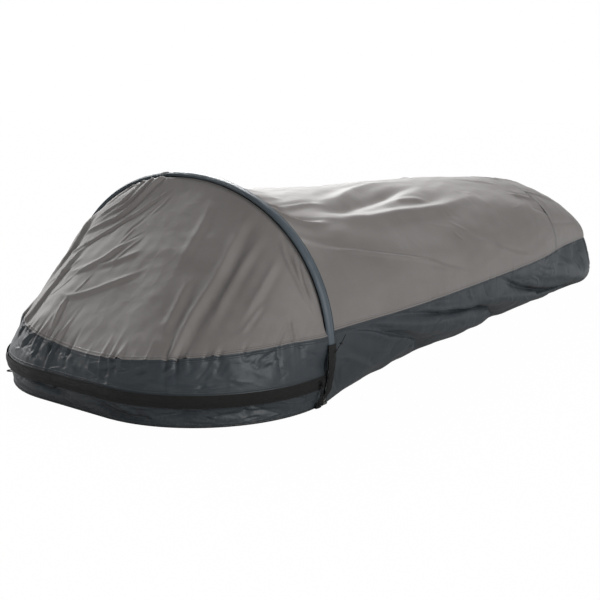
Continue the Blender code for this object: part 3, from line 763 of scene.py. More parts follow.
def makeCloth(name):
    look = cloths[name]
    paint, tree, shader = newPaint(name)
    flat = tree.nodes.new('ShaderNodeUVMap')
    flat.uv_map = 'clothMetres'
    rest = attributeNode(tree, 'restPlace').outputs['Vector']
    weave = addGroup(tree, weaveGroup, [('Place', flat.outputs[0])], [('Threads', look['threads'])])
    crumple = addGroup(tree, crumpleGroup, [('Place', rest)], [('Size', look['creaseSize']),
                                                               ('Patches', look['patches'])])
    stitch = addGroup(tree, stitchGroup, [('FromSeam', attributeNode(tree, 'fromSeam').outputs['Fac']),
                                          ('AlongSeam', attributeNode(tree, 'alongSeam').outputs['Fac'])])
    wear = addGroup(tree, wearGroup, [('Place', rest)])
    tone = mathNode(tree, 'ADD', mathNode(tree, 'MULTIPLY', wear.outputs['Tone'], clothBlend['slowTone']),
                    mathNode(tree, 'MULTIPLY', weave.outputs['Tone'], clothBlend['weaveTone']))
    share = rangeNode(tree, tone, clothBlend['toneFrom'], clothBlend['toneTo'], 0.0, 1.0, True)
    colour = mixColour(tree, share, look['colour'], look['pale'])
    dust = mathNode(tree, 'MULTIPLY', wear.outputs['Dust'], clothBlend['dust'])
    colour = mixColour(tree, dust, colour, clothBlend['dustColour'])
    colour = mixColour(tree, stitch.outputs['Stitches'], colour, look['thread'])
    tree.links.new(colour, shader.inputs['Base Color'])
    rough = rangeNode(tree, wear.outputs['Tone'], 0.3, 0.7, look['rough'] - clothBlend['smoother'],
                      look['rough'] + clothBlend['rougher'])
    rough = mathNode(tree, 'ADD', rough, mathNode(tree, 'MULTIPLY', stitch.outputs['Stitches'],
                                                  clothBlend['stitchRough']))
    tree.links.new(rough, shader.inputs['Roughness'])
    setSockets(shader, {'Sheen Weight': look['sheen'], 'Sheen Roughness': 0.5,
                        'Specular IOR Level': look['specular']})
    creased = bumpNode(tree, crumple.outputs['Height'], look['crumple'])
    sewn = bumpNode(tree, stitch.outputs['Height'], look['hem'], before=creased)
    woven = bumpNode(tree, weave.outputs['Height'], look['weave'], before=sewn)
    tree.links.new(woven, shader.inputs['Normal'])
    return paint


paints = {name: makeCloth(name) for name in cloths}
print('cloth finishes ready')


# ---- small hard and woven finishes
def makeRibbed(name, look):
    # woven ribbon, ribbed both ways
    paint, tree, shader = newPaint(name)
    flat = tree.nodes.new('ShaderNodeUVMap')
    flat.uv_map = 'clothMetres'
    rest = attributeNode(tree, 'restPlace').outputs['Vector']
    split = tree.nodes.new('ShaderNodeSeparateXYZ')
    tree.links.new(flat.outputs[0], split.inputs[0])
    ribs = mathNode(tree, 'SINE', mathNode(tree, 'MULTIPLY', split.outputs['X'], 2 * pi / look['rib']))
    picks = mathNode(tree, 'SINE', mathNode(tree, 'MULTIPLY', split.outputs['Y'], 2 * pi / look['pick']))
    height = mathNode(tree, 'MULTIPLY', mathNode(tree, 'ADD', ribs, picks), 0.5)
    wear = addGroup(tree, wearGroup, [('Place', rest)], [('Scale', 26.0)])
    share = mathNode(tree, 'MULTIPLY', rangeNode(tree, height, -1.0, 1.0, 0.0, 1.0),
                     rangeNode(tree, wear.outputs['Tone'], 0.3, 0.7, 0.4, 1.0))
    tree.links.new(mixColour(tree, share, look['dark'], look['pale']), shader.inputs['Base Color'])
    tree.links.new(rangeNode(tree, wear.outputs['Tone'], 0.3, 0.7, look['rough'] - 0.08, look['rough'] + 0.08),
                   shader.inputs['Roughness'])
    tree.links.new(bumpNode(tree, height, look['depth']), shader.inputs['Normal'])
    return paint


ribbons = {
    'zipTape': {'rib': 0.0011, 'pick': 0.0009, 'depth': 0.0002, 'rough': 0.72,
                'dark': (0.0045, 0.0043, 0.0040), 'pale': (0.0090, 0.0087, 0.0083)},
    'webbing': {'rib': 0.0019, 'pick': 0.0011, 'depth': 0.0003, 'rough': 0.68,
                'dark': (0.003, 0.003, 0.0033), 'pale': (0.008, 0.008, 0.0085)},
    'piping': {'rib': 0.0016, 'pick': 0.0012, 'depth': 0.0002, 'rough': 0.5,
               'dark': (0.045, 0.062, 0.075), 'pale': (0.080, 0.103, 0.120)},
    'binding': {'rib': 0.0016, 'pick': 0.0012, 'depth': 0.0002, 'rough': 0.6,
                'dark': (0.012, 0.015, 0.018), 'pale': (0.026, 0.031, 0.036)},
}
paints.update({name: makeRibbed(name, look) for name, look in ribbons.items()})


def makeBraid(name, look):
    # twisted yarns seen as slanted ridges round a thin cord or a coil
    paint, tree, shader = newPaint(name)
    place = tree.nodes.new('ShaderNodeTexCoord').outputs['Object']
    waves = []
    for direction in look['ways']:
        wave = tree.nodes.new('ShaderNodeTexWave')
        wave.inputs['Scale'].default_value = look['scale']
        wave.inputs['Distortion'].default_value = 0.6
        turned = tree.nodes.new('ShaderNodeMapping')
        turned.inputs['Rotation'].default_value = direction
        tree.links.new(place, turned.inputs['Vector'])
        tree.links.new(turned.outputs[0], wave.inputs['Vector'])
        waves.append(wave.outputs['Fac'])
    height = mathNode(tree, 'MULTIPLY', waves[0], waves[-1])
    grime = noiseNode(tree, place, 90.0, 3.0)
    share = mathNode(tree, 'MULTIPLY', height, rangeNode(tree, grime, 0.3, 0.7, 0.5, 1.0))
    tree.links.new(mixColour(tree, share, look['dark'], look['pale']), shader.inputs['Base Color'])
    tree.links.new(rangeNode(tree, grime, 0.3, 0.7, look['rough'] - 0.08, look['rough'] + 0.08),
                   shader.inputs['Roughness'])
    tree.links.new(bumpNode(tree, height, look['depth']), shader.inputs['Normal'])
    return paint


slanted = ((0.6, 0.5, 0.9), (-0.6, 0.7, -0.9))
braids = {
    'blackCord': {'scale': 260.0, 'ways': slanted, 'dark': (0.008, 0.008, 0.0085),
                  'pale': (0.024, 0.024, 0.025), 'depth': 0.0002, 'rough': 0.7},
    'greyCord': {'scale': 300.0, 'ways': slanted, 'dark': (0.060, 0.060, 0.062),
                 'pale': (0.130, 0.130, 0.132), 'depth': 0.0002, 'rough': 0.7},
    'elastic': {'scale': 320.0, 'ways': slanted, 'dark': (0.42, 0.41, 0.39),
                'pale': (0.66, 0.65, 0.62), 'depth': 0.0002, 'rough': 0.75},
    'zipCoil': {'scale': 210.0, 'ways': ((0.0, 0.0, 0.0), (0.0, 0.0, pi / 2)), 'dark': (0.010, 0.010, 0.010),
                'pale': (0.034, 0.034, 0.034), 'depth': 0.0004, 'rough': 0.38},
}
paints.update({name: makeBraid(name, look) for name, look in braids.items()})


def makeMetal(name, look):
    paint, tree, shader = newPaint(name)
    place = tree.nodes.new('ShaderNodeTexCoord').outputs['Object']
    wear = addGroup(tree, wearGroup, [('Place', place)], [('Scale', look['patch']), ('DustTop', 0.01)])
    scratch = tree.nodes.new('ShaderNodeVectorMath')
    scratch.operation = 'MULTIPLY'
    tree.links.new(place, scratch.inputs[0])
    scratch.inputs[1].default_value = look['stretch']
    lines = noiseNode(tree, scratch.outputs[0], 1.0, 3.0)
    share = rangeNode(tree, wear.outputs['Tone'], 0.35, 0.68, 0.0, 1.0)
    worn = rangeNode(tree, lines, 0.60, 0.72, 0.0, 1.0, True)
    colour = mixColour(tree, share, look['dark'], look['pale'])
    colour = mixColour(tree, mathNode(tree, 'MULTIPLY', worn, look['wear']), colour, look['bare'])
    tree.links.new(colour, shader.inputs['Base Color'])
    tree.links.new(rangeNode(tree, lines, 0.3, 0.7, look['rough'] - 0.06, look['rough'] + 0.12),
                   shader.inputs['Roughness'])
    shader.inputs['Metallic'].default_value = look['metal']
    tree.links.new(bumpNode(tree, lines, 0.00006), shader.inputs['Normal'])
    return paint


metals = {
    'sliderMetal': {'patch': 220.0, 'stretch': (900, 900, 60), 'dark': (0.020, 0.020, 0.021),
                    'pale': (0.040, 0.040, 0.042), 'bare': (0.22, 0.22, 0.23), 'wear': 0.25, 'rough': 0.36,
                    'metal': 0.85},
    'poleAlloy': {'patch': 30.0, 'stretch': (30, 900, 30), 'dark': (0.42, 0.44, 0.47),
                  'pale': (0.56, 0.58, 0.61), 'bare': (0.75, 0.75, 0.76), 'wear': 0.2, 'rough': 0.30, 'metal': 1.0},
    'tipMetal': {'patch': 160.0, 'stretch': (600, 600, 80), 'dark': (0.33, 0.32, 0.29),
                 'pale': (0.48, 0.46, 0.42), 'bare': (0.70, 0.68, 0.63), 'wear': 0.4, 'rough': 0.34, 'metal': 1.0},
}
paints.update({name: makeMetal(name, look) for name, look in metals.items()})
print('ribbon, cord and metal finishes ready')

cadFinishes = {
    'poleAlloy': ('pole_section_left', 'pole_section_top', 'pole_section_right', 'pole_ferrule_left',
                  'pole_ferrule_right'),
    'tipMetal': ('pole_tip_left', 'pole_tip_right', 'grommet_left', 'grommet_right'),
    'elastic': ('shock_cord',),
    'sliderMetal': ('zip_stop_left', 'zip_stop_right', 'zip_slider_left', 'zip_slider_right', 'zip_pull_left',
                    'zip_pull_right'),
    'zipCoil': ('zip_teeth_lower',),
}
for finish, nodes in cadFinishes.items():
    for part in (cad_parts[node] for node in nodes):
        if not part.data.materials:
            part.data.materials.append(paints[finish])
        for slot in part.material_slots:
            slot.material = paints[finish]


# ---- panels
panel = {
    'seamPuckers': (31, 60, 0.02, 0.98, 0.0055, 0.0038),   # seed, count, from, to, height, half width
    'seamReach': 0.030,
    'sideReach': 0.026,
    'bandLap': 0.0022,
    'sidePuckers': (24, 0.05, 1.70, 0.0013, 0.006),   # as above, without the seed
    'sideSeed': 57,
    'frontEnd': 0.0095,   # how far ahead of the pole's plane the side walls start
    'floorLift': 0.0016,
}
frontLength = 1.06   # metres along the front seam, to turn its shares into metres
frontPuckers = [(mark * frontLength, tall, wide, share)
                for mark, tall, wide, share in puckers(*panel['seamPuckers'])]
sidePuckers = {side: puckers(panel['sideSeed'] + side, *panel['sidePuckers']) for side in (1, -1)}


def paintOn(piece, finish):
    piece.data.materials.append(paints[finish])
    return piece


def onDoor(piece):
    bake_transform(piece)
    return piece


def finishCloth(name, points, flip, sewn, finish, node=None, body='shell'):
    points[..., 2] = np.maximum(points[..., 2], 0.0)
    piece = paintOn(clothMesh(name, points, flip, sewn), finish)
    if body == 'door':
        onDoor(piece)
    else:
        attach(piece, body)
    if node:
        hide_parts(node)


hoodFolds = foldsFrom([
    # from the arch down to the left shoulder
    (6, 5.5, 0.6, 0.35, (0.501, 0.96), (0.561, 0.849), (0.604, 0.746), (0.657, 0.645), (0.719, 0.532), (0.8, 0.46)),
    (7, 7.5, 0.4, 0.4, (0.584, 0.99), (0.612, 0.9), (0.632, 0.816), (0.654, 0.746), (0.692, 0.706), (0.78, 0.62)),
    (4.5, 5.5, 0.5, 0.4, (0.62, 0.99), (0.64, 0.88), (0.665, 0.81), (0.71, 0.74)),
    (4, 5, 0.5, 0.3, (0.65, 0.99), (0.667, 0.86), (0.702, 0.803), (0.75, 0.73)),
    (3, 4.5, 0.4, 0.3, (0.685, 0.99), (0.705, 0.9), (0.74, 0.83)),
    (6, 10, 0.35, 0.3, (0.529, 0.64), (0.574, 0.542), (0.599, 0.472), (0.652, 0.391), (0.7, 0.36)),
    (4, 10, 0.2, 0.4, (0.464, 0.569), (0.514, 0.515), (0.579, 0.448), (0.64, 0.42)),
    (5.5, 9.5, 0.3, 0.3, (0.419, 0.488), (0.461, 0.421), (0.524, 0.344), (0.564, 0.291), (0.619, 0.237),
     (0.672, 0.241)),
    (5.5, 7, 0.4, 0.4, (0.622, 0.25), (0.614, 0.164), (0.602, 0.08), (0.596, 0)),
    (3.5, 5, 0.4, 0.2, (0.66, 0.35), (0.629, 0.408), (0.6, 0.45)),
    (2, 6, 0.3, 0.3, (0.5, 0.9), (0.52, 0.82), (0.545, 0.74)),
    # broad soft folds on the right
    (8, 16, 0.1, 0.6, (0.262, 0.97), (0.266, 0.716), (0.27, 0.518), (0.276, 0.381), (0.284, 0.211), (0.286, 0.02)),
    (4.5, 14, 0.1, 0.5, (0.316, 0.5), (0.318, 0.35), (0.32, 0.22), (0.318, 0.05)),
    (5, 13, 0.15, 0.5, (0.215, 0.93), (0.224, 0.75), (0.232, 0.589), (0.24, 0.341), (0.246, 0.05)),
    (5, 12, 0.15, 0.5, (0.17, 0.85), (0.178, 0.6), (0.186, 0.375), (0.196, 0.161)),
    (4.5, 17, 0.1, 0.3, (0.352, 0.93), (0.348, 0.75), (0.352, 0.6), (0.36, 0.42)),
    # thin folds beside the arch, low on the right
    (5, 6, 0.4, 0.6, (0.185, 0.97), (0.16, 0.849), (0.115, 0.753), (0.075, 0.66), (0.045, 0.58)),
    (4.5, 5, 0.45, 0.6, (0.15, 0.96), (0.123, 0.849), (0.09, 0.746), (0.06, 0.68)),
    (3.5, 4.2, 0.45, 0.5, (0.125, 0.96), (0.105, 0.876), (0.08, 0.81), (0.055, 0.76)),
    (-5, 6, 0.35, 0.5, (0.105, 0.37), (0.09, 0.22), (0.078, 0.08), (0.074, 0)),
    (3.5, 6, 0.3, 0.4, (0.165, 0.43), (0.176, 0.26), (0.186, 0.12)),
    # the unseen left side, near the arch
    (5, 6.5, 0.4, 0.6, (0.83, 0.97), (0.845, 0.84), (0.885, 0.74), (0.935, 0.62)),
    (4, 5, 0.4, 0.5, (0.87, 0.96), (0.885, 0.85), (0.915, 0.76)),
    (7, 13, 0.15, 0.6, (0.76, 0.9), (0.772, 0.65), (0.785, 0.4), (0.8, 0.12)),
    (6, 11, 0.2, 0.6, (0.7, 0.6), (0.71, 0.4), (0.715, 0.2), (0.71, 0)),
])


hoodCreases = {'seed': 201, 'count': 26, 'u': (0.52, 0.86), 'v': (0.25, 0.98), 'turn': -0.95, 'spread': 0.22,
               'size': (1.06, 0.40), 'reach': (0.02, 0.07), 'height': (0.0008, 0.0022), 'width': (0.0022, 0.0045)}
hoodPlan = {
    'size': (150, 300),
    'fade': ((0.010, lowHigh),),
    'ripples': ((0.16, 0.0010, (1, 1, 1), ((0.05, lowHigh),)), (0.05, 0.0004, (1, 1, 0.3), ((0.03, lowHigh),))),
    'archPuckers': (77, 46, 0.1, 1.2, 0.0012, 0.005),
    'archReach': 0.02,
    'archFade': 0.008,
    'archInset': 0.0058,
    'archY': -0.0088,
    'sweepPower': 1.4,
    'billow': 0.002,
}
hoodSlim = {'width': 0.72, 'height': 0.85, 'sharp': 0.22}
hoodLift = foldsFrom([(11, 42, 0, 0, (0.58, 0.99), (0.7, 0.86), (0.82, 0.7), (0.9, 0.5))])


def hoodPlace(u, v):
    bottom = frontSurface(u, smoothThrough(doorSeam['height'], u))
    right, left = [hoopAngleAt(doorSeam['height'][end][1] + 0.0005, sack['sleeveInset']) for end in (0, -1)]
    sweep = 0.5 - 0.5 * abs(1 - 2 * u) ** hoodPlan['sweepPower'] * (1 if u < 0.5 else -1)
    top = hoopPoint(right + (pi - left - right) * sweep, sack['sleeveInset'] + hoodPlan['archInset'])
    top.y = hoodPlan['archY']
    return bottom.lerp(top, v)


def makeHood():
    points = gridOf(hoodPlace, *hoodPlan['size'])
    normals = -outwardOf(points)
    across, up = metresAcross(points)
    drawn = [(path, high * hoodSlim['height'], wide * hoodSlim['width'], min(sharp + hoodSlim['sharp'], 0.9), lean)
             for path, high, wide, sharp, lean in hoodFolds]
    field = pressField(points, normals, drawn + hoodLift + scatterFolds(hoodCreases), hoodPlan, 5)
    field += puckerField(across[:1], up, frontPuckers, panel['seamReach'])
    gathers = puckerField(across[-1:], up[-1:] - up, puckers(*hoodPlan['archPuckers']), hoodPlan['archReach'])
    field += gathers * edgeMask(points, hoodPlan['archFade'])
    billow = np.sin(pi * np.linspace(0, 1, len(points)))[:, None] * hoodPlan['billow']
    points = points + normals * (field + billow)[..., None]
    finishCloth('hoodCloth', points, True, lowHigh, 'topCloth', 'door_panel_upper', 'door')


zipBand = {'half': 0.0127, 'slit': 0.0007, 'cover': 0.00150, 'lap': 0.0026, 'rows': 9, 'columns': 260,
           'lift': 0.0004, 'lapLift': 0.0007, 'endGap': 0.0085, 'ripple': (97, 0.060, 0.0003), 'fade': 0.004,
           'coilGap': 0.018, 'coilHalf': 0.0012, 'coilSteps': 240, 'coilSides': 8}
bandFolds = foldsFrom([
    (-4, 6, 0.4, -0.5, (0.373, 0.8), (0.404, 0.682), (0.434, 0.498)),
    (-4, 6, 0.4, -0.5, (0.343, 0.8), (0.338, 0.542)),
    (4, 5, 0.5, 0.5, (0.281, 0.8), (0.301, 0.579)),
    (-4.5, 5.5, 0.4, -0.6, (0.221, 1), (0.228, 0.739), (0.241, 0.5), (0.246, 0.35)),
    (-4, 5, 0.4, -0.6, (0.201, 0.95), (0.213, 0.6), (0.218, 0.45)),
    (-4, 5, 0.4, -0.6, (0.145, 1), (0.158, 0.853), (0.165, 0.7)),
    (-4.5, 6, 0.4, -0.7, (0.105, 0.95), (0.128, 0.8), (0.148, 0.7)),
    (-3.5, 5, 0.5, -0.5, (0.231, 0.35), (0.241, 0.18), (0.25, 0.05)),
    (-2.5, 5, 0.4, -0.4, (0.063, 0.95), (0.053, 0.8)),
    (-4.5, 7, 0.3, -0.5, (0.576, 0.98), (0.566, 0.75), (0.56, 0.55)),
    (4.5, 5, 0.5, 0.6, (0.645, 1), (0.655, 0.7), (0.668, 0.45)),
    (4.5, 4.5, 0.5, 0.6, (0.7, 1), (0.705, 0.75), (0.7, 0.5)),
    (3.5, 10, 0.3, 0.5, (0.54, 0.75), (0.5, 0.45), (0.47, 0.25)),
    (3, 8, 0.3, 0.5, (0.62, 0.55), (0.6, 0.3), (0.575, 0.12)),
    (2.2, 4.5, 0.5, 0.4, (0.3, 0.3), (0.263, 0.22), (0.22, 0.2), (0.17, 0.28)),
    (2, 4.5, 0.5, 0.4, (0.47, 0.18), (0.4, 0.12), (0.33, 0.14)),
    (-4, 6, 0.4, -0.5, (0.82, 0.95), (0.83, 0.6), (0.85, 0.3)),
    (3.5, 6, 0.4, 0.5, (0.9, 0.95), (0.905, 0.6)),
    (-3.5, 6, 0.4, -0.5, (0.76, 0.9), (0.77, 0.5)),
])


bandCreases = {'seed': 211, 'count': 90, 'u': (0.02, 0.98), 'v': (0.08, 0.98), 'turn': 1.35, 'spread': 0.55,
               'size': (1.1, 0.08), 'reach': (0.006, 0.024), 'height': (0.0005, 0.0014), 'width': (0.0020, 0.0042)}
bandPlan = {
    'size': (56, 300),
    'fade': ((0.010, lowHigh),),
    'ripples': ((0.10, 0.0009, (1, 1, 1), ((0.03, lowHigh),)), (0.030, 0.0003, (1, 1, 0.5), ((0.02, lowHigh),))),
    'zipPuckers': (91, 60, 0.02, 1.1, 0.0010, 0.0035),
    'zipReach': 0.008,
    'zipFade': 0.005,
}


def bandPlace(u, v):
    low = sack['zipHeight'] + zipBand['half'] - panel['bandLap']
    return frontSurface(u, low + (smoothThrough(doorSeam['height'], u) - low) * v)


def makeBand():
    points = gridOf(bandPlace, *bandPlan['size'])
    normals = -outwardOf(points)
    across, up = metresAcross(points)
    field = pressField(points, normals, bandFolds + scatterFolds(bandCreases), bandPlan, 15)
    field += puckerField(across[-1:], up[-1:] - up, frontPuckers, panel['seamReach'])
    gathers = puckerField(across[:1], up, puckers(*bandPlan['zipPuckers']), bandPlan['zipReach'])
    points = points + normals * (field + gathers * edgeMask(points, bandPlan['zipFade']))[..., None]
    finishCloth('doorBandCloth', points, True, lowHigh, 'tubCloth', 'door_panel_lower', 'door')


frontFolds = foldsFrom([
    (7, 7, 0.4, 0.7, (0.66, 0.6), (0.614, 0.6), (0.555, 0.5), (0.516, 0.04)),
    (-6, 8, 0.3, -0.4, (0.56, 0.85), (0.52, 0.65), (0.491, 0.48)),
    (-8, 8, 0.4, -0.7, (0.455, 0.95), (0.419, 0.48), (0.386, 0.28), (0.33, 0.3), (0.29, 0.4)),
    (6, 6, 0.5, 0.3, (0.385, 0.85), (0.348, 0.42)),
    (-5, 6, 0.4, -0.3, (0.3, 0.97), (0.263, 0.7), (0.29, 0.45)),
    (-6.5, 7, 0.4, -0.6, (0.33, 0.42), (0.256, 0.6), (0.195, 0.92)),
    (-6, 6, 0.4, -0.6, (0.135, 0.9), (0.16, 0.78), (0.168, 0.6), (0.15, 0.48)),
    (-4.5, 7, 0.3, -0.5, (0.235, 0.5), (0.163, 0.55), (0.088, 0.55)),
    (-4.5, 7, 0.3, -0.5, (0.1, 0.92), (0.063, 0.75), (0.04, 0.55)),
    (-5, 8, 0.3, -0.5, (0.75, 0.85), (0.72, 0.5), (0.68, 0.25)),
    (-5, 7, 0.3, -0.5, (0.88, 0.85), (0.84, 0.6), (0.8, 0.5)),
])


frontCreases = {'seed': 221, 'count': 46, 'u': (0.03, 0.97), 'v': (0.10, 0.95), 'turn': 0.5, 'spread': 0.8,
                'size': (1.1, 0.045), 'reach': (0.006, 0.030), 'height': (0.0008, 0.0026), 'width': (0.0020, 0.0045)}
frontLook = {
    'size': (30, 300),
    'depth': {'out': 0.7, 'in': 1.5},   # the zip's pulls need room outside, so folds sink more than they rise
    'fade': ((0.009, lowHigh),),
    'ripples': ((0.09, 0.0010, (1, 1, 1), ((0.02, lowHigh),)),),
    'welt': {'below': 0.0055, 'wide': 0.0012, 'high': 0.0008},
}


def frontPlace(u, v):
    return frontSurface(u, (sack['zipHeight'] - zipBand['half'] + panel['bandLap']) * v)


def makeFrontWall():
    points = gridOf(frontPlace, *frontLook['size'])
    normals = -outwardOf(points)
    field = pressField(points, normals, frontFolds + scatterFolds(frontCreases), frontLook, 25)
    up, welt = metresAcross(points)[1], frontLook['welt']
    field += np.exp(-((up[-1:] - up - welt['below']) / welt['wide']) ** 2) * welt['high']
    points = points + normals * field[..., None]
    finishCloth('frontWallCloth', points, True, lowHigh, 'tubCloth', 'tub_wall_front')


bodyFolds = foldsFrom([
    (13, 23, 0.25, 0.35, (0.285, 0.07), (0.278, 0.181), (0.271, 0.244), (0.276, 0.338), (0.273, 0.431),
     (0.278, 0.528), (0.3, 0.66), (0.31, 0.74)),
    (-14, 24, 0.15, 0, (0.32, 0.12), (0.322, 0.197), (0.345, 0.3), (0.368, 0.4), (0.395, 0.5), (0.414, 0.62)),
    (8, 20, 0.25, 0.3, (0.366, 0.17), (0.378, 0.264), (0.425, 0.37), (0.461, 0.5), (0.475, 0.6)),
    (7, 9, 0.4, 0.5, (0.318, 0), (0.31, 0.033), (0.33, 0.08), (0.351, 0.147), (0.348, 0.21)),
    (6.5, 8.5, 0.4, 0.5, (0.3, 0), (0.275, 0.03), (0.266, 0.077), (0.27, 0.14)),
    (6, 9, 0.4, 0.5, (0.345, 0), (0.35, 0.03), (0.375, 0.07), (0.4, 0.13)),
    (-3.5, 15, 0.1, -0.4, (0.225, 0), (0.213, 0.03), (0.205, 0.087), (0.195, 0.14)),
    (4, 6, 0.55, 0.6, (0.195, 0.03), (0.178, 0.13), (0.148, 0.22), (0.11, 0.32), (0.066, 0.41), (0.022, 0.53)),
    (-3.5, 9, 0.2, -0.4, (0.12, 0.3), (0.075, 0.4), (0.03, 0.5)),
    (5, 14, 0.15, 0.3, (0.34, 0.4), (0.335, 0.46), (0.318, 0.53)),
    (4, 10, 0.4, 0.4, (0.45, 0.78), (0.4, 0.86), (0.36, 0.93)),
    (4.5, 8, 0.4, 0.4, (0.3, 0.88), (0.27, 0.93), (0.25, 0.98)),
    (-3, 8, 0.3, -0.4, (0.21, 0.9), (0.19, 0.96), (0.175, 1)),
    (3, 7, 0.4, 0.5, (0.09, 0.62), (0.05, 0.7), (0.02, 0.8)),
    (2.5, 12, 0.2, 0.4, (0.16, 0.5), (0.1, 0.6), (0.05, 0.66)),
    # the far side
    (12, 24, 0.2, 0.35, (0.7, 0.06), (0.712, 0.18), (0.725, 0.3), (0.722, 0.45), (0.72, 0.56), (0.7, 0.68)),
    (-12, 24, 0.15, 0, (0.66, 0.1), (0.64, 0.22), (0.62, 0.36), (0.58, 0.48), (0.565, 0.58)),
    (6, 9, 0.4, 0.5, (0.655, 0), (0.665, 0.05), (0.69, 0.12)),
    (5.5, 9, 0.4, 0.5, (0.715, 0), (0.735, 0.05), (0.745, 0.12)),
    (4, 6.5, 0.5, 0.6, (0.8, 0.03), (0.82, 0.15), (0.86, 0.26), (0.92, 0.38), (0.975, 0.5)),
    (3.5, 10, 0.3, 0.5, (0.77, 0.3), (0.8, 0.42), (0.84, 0.55), (0.9, 0.7)),
    (4, 10, 0.4, 0.4, (0.55, 0.7), (0.6, 0.8), (0.66, 0.9)),
    (4, 12, 0.3, 0.5, (0.5, 0), (0.51, 0.05), (0.53, 0.12)),
    (5, 10, 0.35, 0.5, (0.43, 0), (0.44, 0.05), (0.45, 0.15)),
    (4.5, 10, 0.35, 0.5, (0.58, 0), (0.585, 0.06), (0.6, 0.14)),
])
footFolds = foldsFrom([
    (4, 10, 0.3, 0.4, (0.44, 0), (0.42, 0.3), (0.43, 0.6)),
    (4, 9, 0.3, 0.4, (0.3, 0), (0.27, 0.2), (0.25, 0.45)),
    (-3, 8, 0.3, -0.4, (0.12, 0), (0.11, 0.3), (0.12, 0.6)),
    (4, 10, 0.3, 0.4, (0.62, 0), (0.64, 0.3), (0.62, 0.65)),
    (3.5, 9, 0.3, 0.4, (0.8, 0), (0.78, 0.35)),
    (-4, 10, 0.3, -0.4, (0.5, 1), (0.49, 0.8), (0.47, 0.62)),
])


bodyCreases = {'seed': 251, 'count': 40, 'u': (0.04, 0.96), 'v': (0.02, 0.98), 'turn': 1.9, 'spread': 0.6,
               'size': (1.2, 1.35), 'reach': (0.02, 0.10), 'height': (0.0005, 0.0016), 'width': (0.0030, 0.0080)}
footLap = {'under': 0.007, 'over': 0.002, 'step': 0.0008, 'stepRun': 0.012}   # the foot panel laps over the body
slowFade = ((0.06, allRound),)
topPlan = {
    'fade': ((0.012, lowHigh), (0.012, leftRight)),
    'ripples': ((0.22, 0.0016, (1, 0.5, 1), slowFade), (0.06, 0.0005, (1, 0.5, 1), slowFade)),
    'archFade': 0.006,
    'start': 0.0085,
}


def bodyPlace(u, v):
    start = topPlan['start']
    return canopyPoint(start + (sack['footSeam'] + footLap['under'] - start) * v, u)


def footPanelPlace(u, v):
    start = sack['footSeam'] - footLap['over']
    return canopyPoint(start + (sack['length'] - start) * sin(v * pi / 2), u)


def sideSeamPuckers(points, field):
    across, up = metresAcross(points)
    distance = points[..., 1]
    field = field + puckerField(distance, across, sidePuckers[1], panel['sideReach'])
    return field + puckerField(distance, across[:, -1:] - across, sidePuckers[-1], panel['sideReach'])


def makeTop(name, place, size, folds, step, node, seed):
    points = gridOf(place, *size)
    normals = -outwardOf(points)
    field = pressField(points, normals, folds, topPlan, seed)
    field = sideSeamPuckers(points, field) * edgeMask(points, topPlan['archFade'], ('low',))
    toSeam = np.abs(points[..., 1] - sack['footSeam'])
    field -= step * np.exp(-(toSeam / footLap['stepRun']) ** 2)
    points = points + normals * field[..., None]
    finishCloth(name, points, True, allRound, 'topCloth', node)


wallFolds = foldsFrom([
    (6, 9, 0.35, 0.6, (0.05, 0.93), (0.1, 0.78), (0.153, 0.6), (0.228, 0.44), (0.28, 0.36)),
    (6, 10, 0.3, 0.5, (0.208, 0.93), (0.286, 0.8), (0.391, 0.65), (0.46, 0.55)),
    (3.5, 9, 0.3, 0.5, (0.02, 0.7), (0.06, 0.5), (0.11, 0.28), (0.15, 0.12)),
    (-6.5, 6, 0.4, -0.5, (0.025, 0.5), (0.03, 0.3), (0.045, 0.08)),
    (4, 7, 0.4, 0.5, (0.03, 0.97), (0.08, 0.86), (0.14, 0.74), (0.2, 0.62)),
    (-4.5, 7, 0.35, -0.5, (0.429, 0.97), (0.437, 0.84), (0.444, 0.73)),
    (3.5, 8, 0.35, 0.5, (0.37, 0.97), (0.375, 0.85), (0.39, 0.74)),
    (6, 11, 0.3, 0.5, (0.607, 0.7), (0.68, 0.5), (0.762, 0.34), (0.9, 0.17)),
    (-4, 9, 0.3, -0.4, (0.55, 0.8), (0.585, 0.62), (0.6, 0.45)),
    (3.5, 9, 0.3, 0.4, (0.66, 0.9), (0.7, 0.76), (0.745, 0.62)),
    (5, 12, 0.3, 0.5, (0.8, 0.92), (0.84, 0.7), (0.9, 0.52)),
    (-6, 10, 0.3, -0.5, (0.9, 0.85), (0.93, 0.55), (0.95, 0.3)),
    (6, 8, 0.4, 0.3, (0.955, 0.7), (0.965, 0.45), (0.985, 0.25)),
])


wallPlan = {
    'size': (62, 420),
    'fade': ((0.010, lowHigh), (0.014, leftRight)),
    'endFade': 0.012,
    'leftShift': {'along': 0.93, 'start': 0.04, 'height': 0.9, 'width': 1.1},   # so the left isn't a copy
}
wallPlan['ripples'] = ((0.12, 0.0014, (1, 1, 1), wallPlan['fade']), (0.040, 0.0003, (1, 1, 1), wallPlan['fade']))
wallCreases = {'seed': 231, 'count': 70, 'u': (0.02, 0.98), 'v': (0.12, 0.95), 'turn': -0.42, 'spread': 0.30,
               'size': (1.69, 0.16), 'reach': (0.012, 0.060), 'height': (0.0008, 0.0024), 'width': (0.0025, 0.0060)}


def leftFolds():
    shift = wallPlan['leftShift']
    return [([(u * shift['along'] + shift['start'], v) for u, v in path], high * shift['height'],
             wide * shift['width'], sharp, lean) for path, high, wide, sharp, lean in wallFolds]


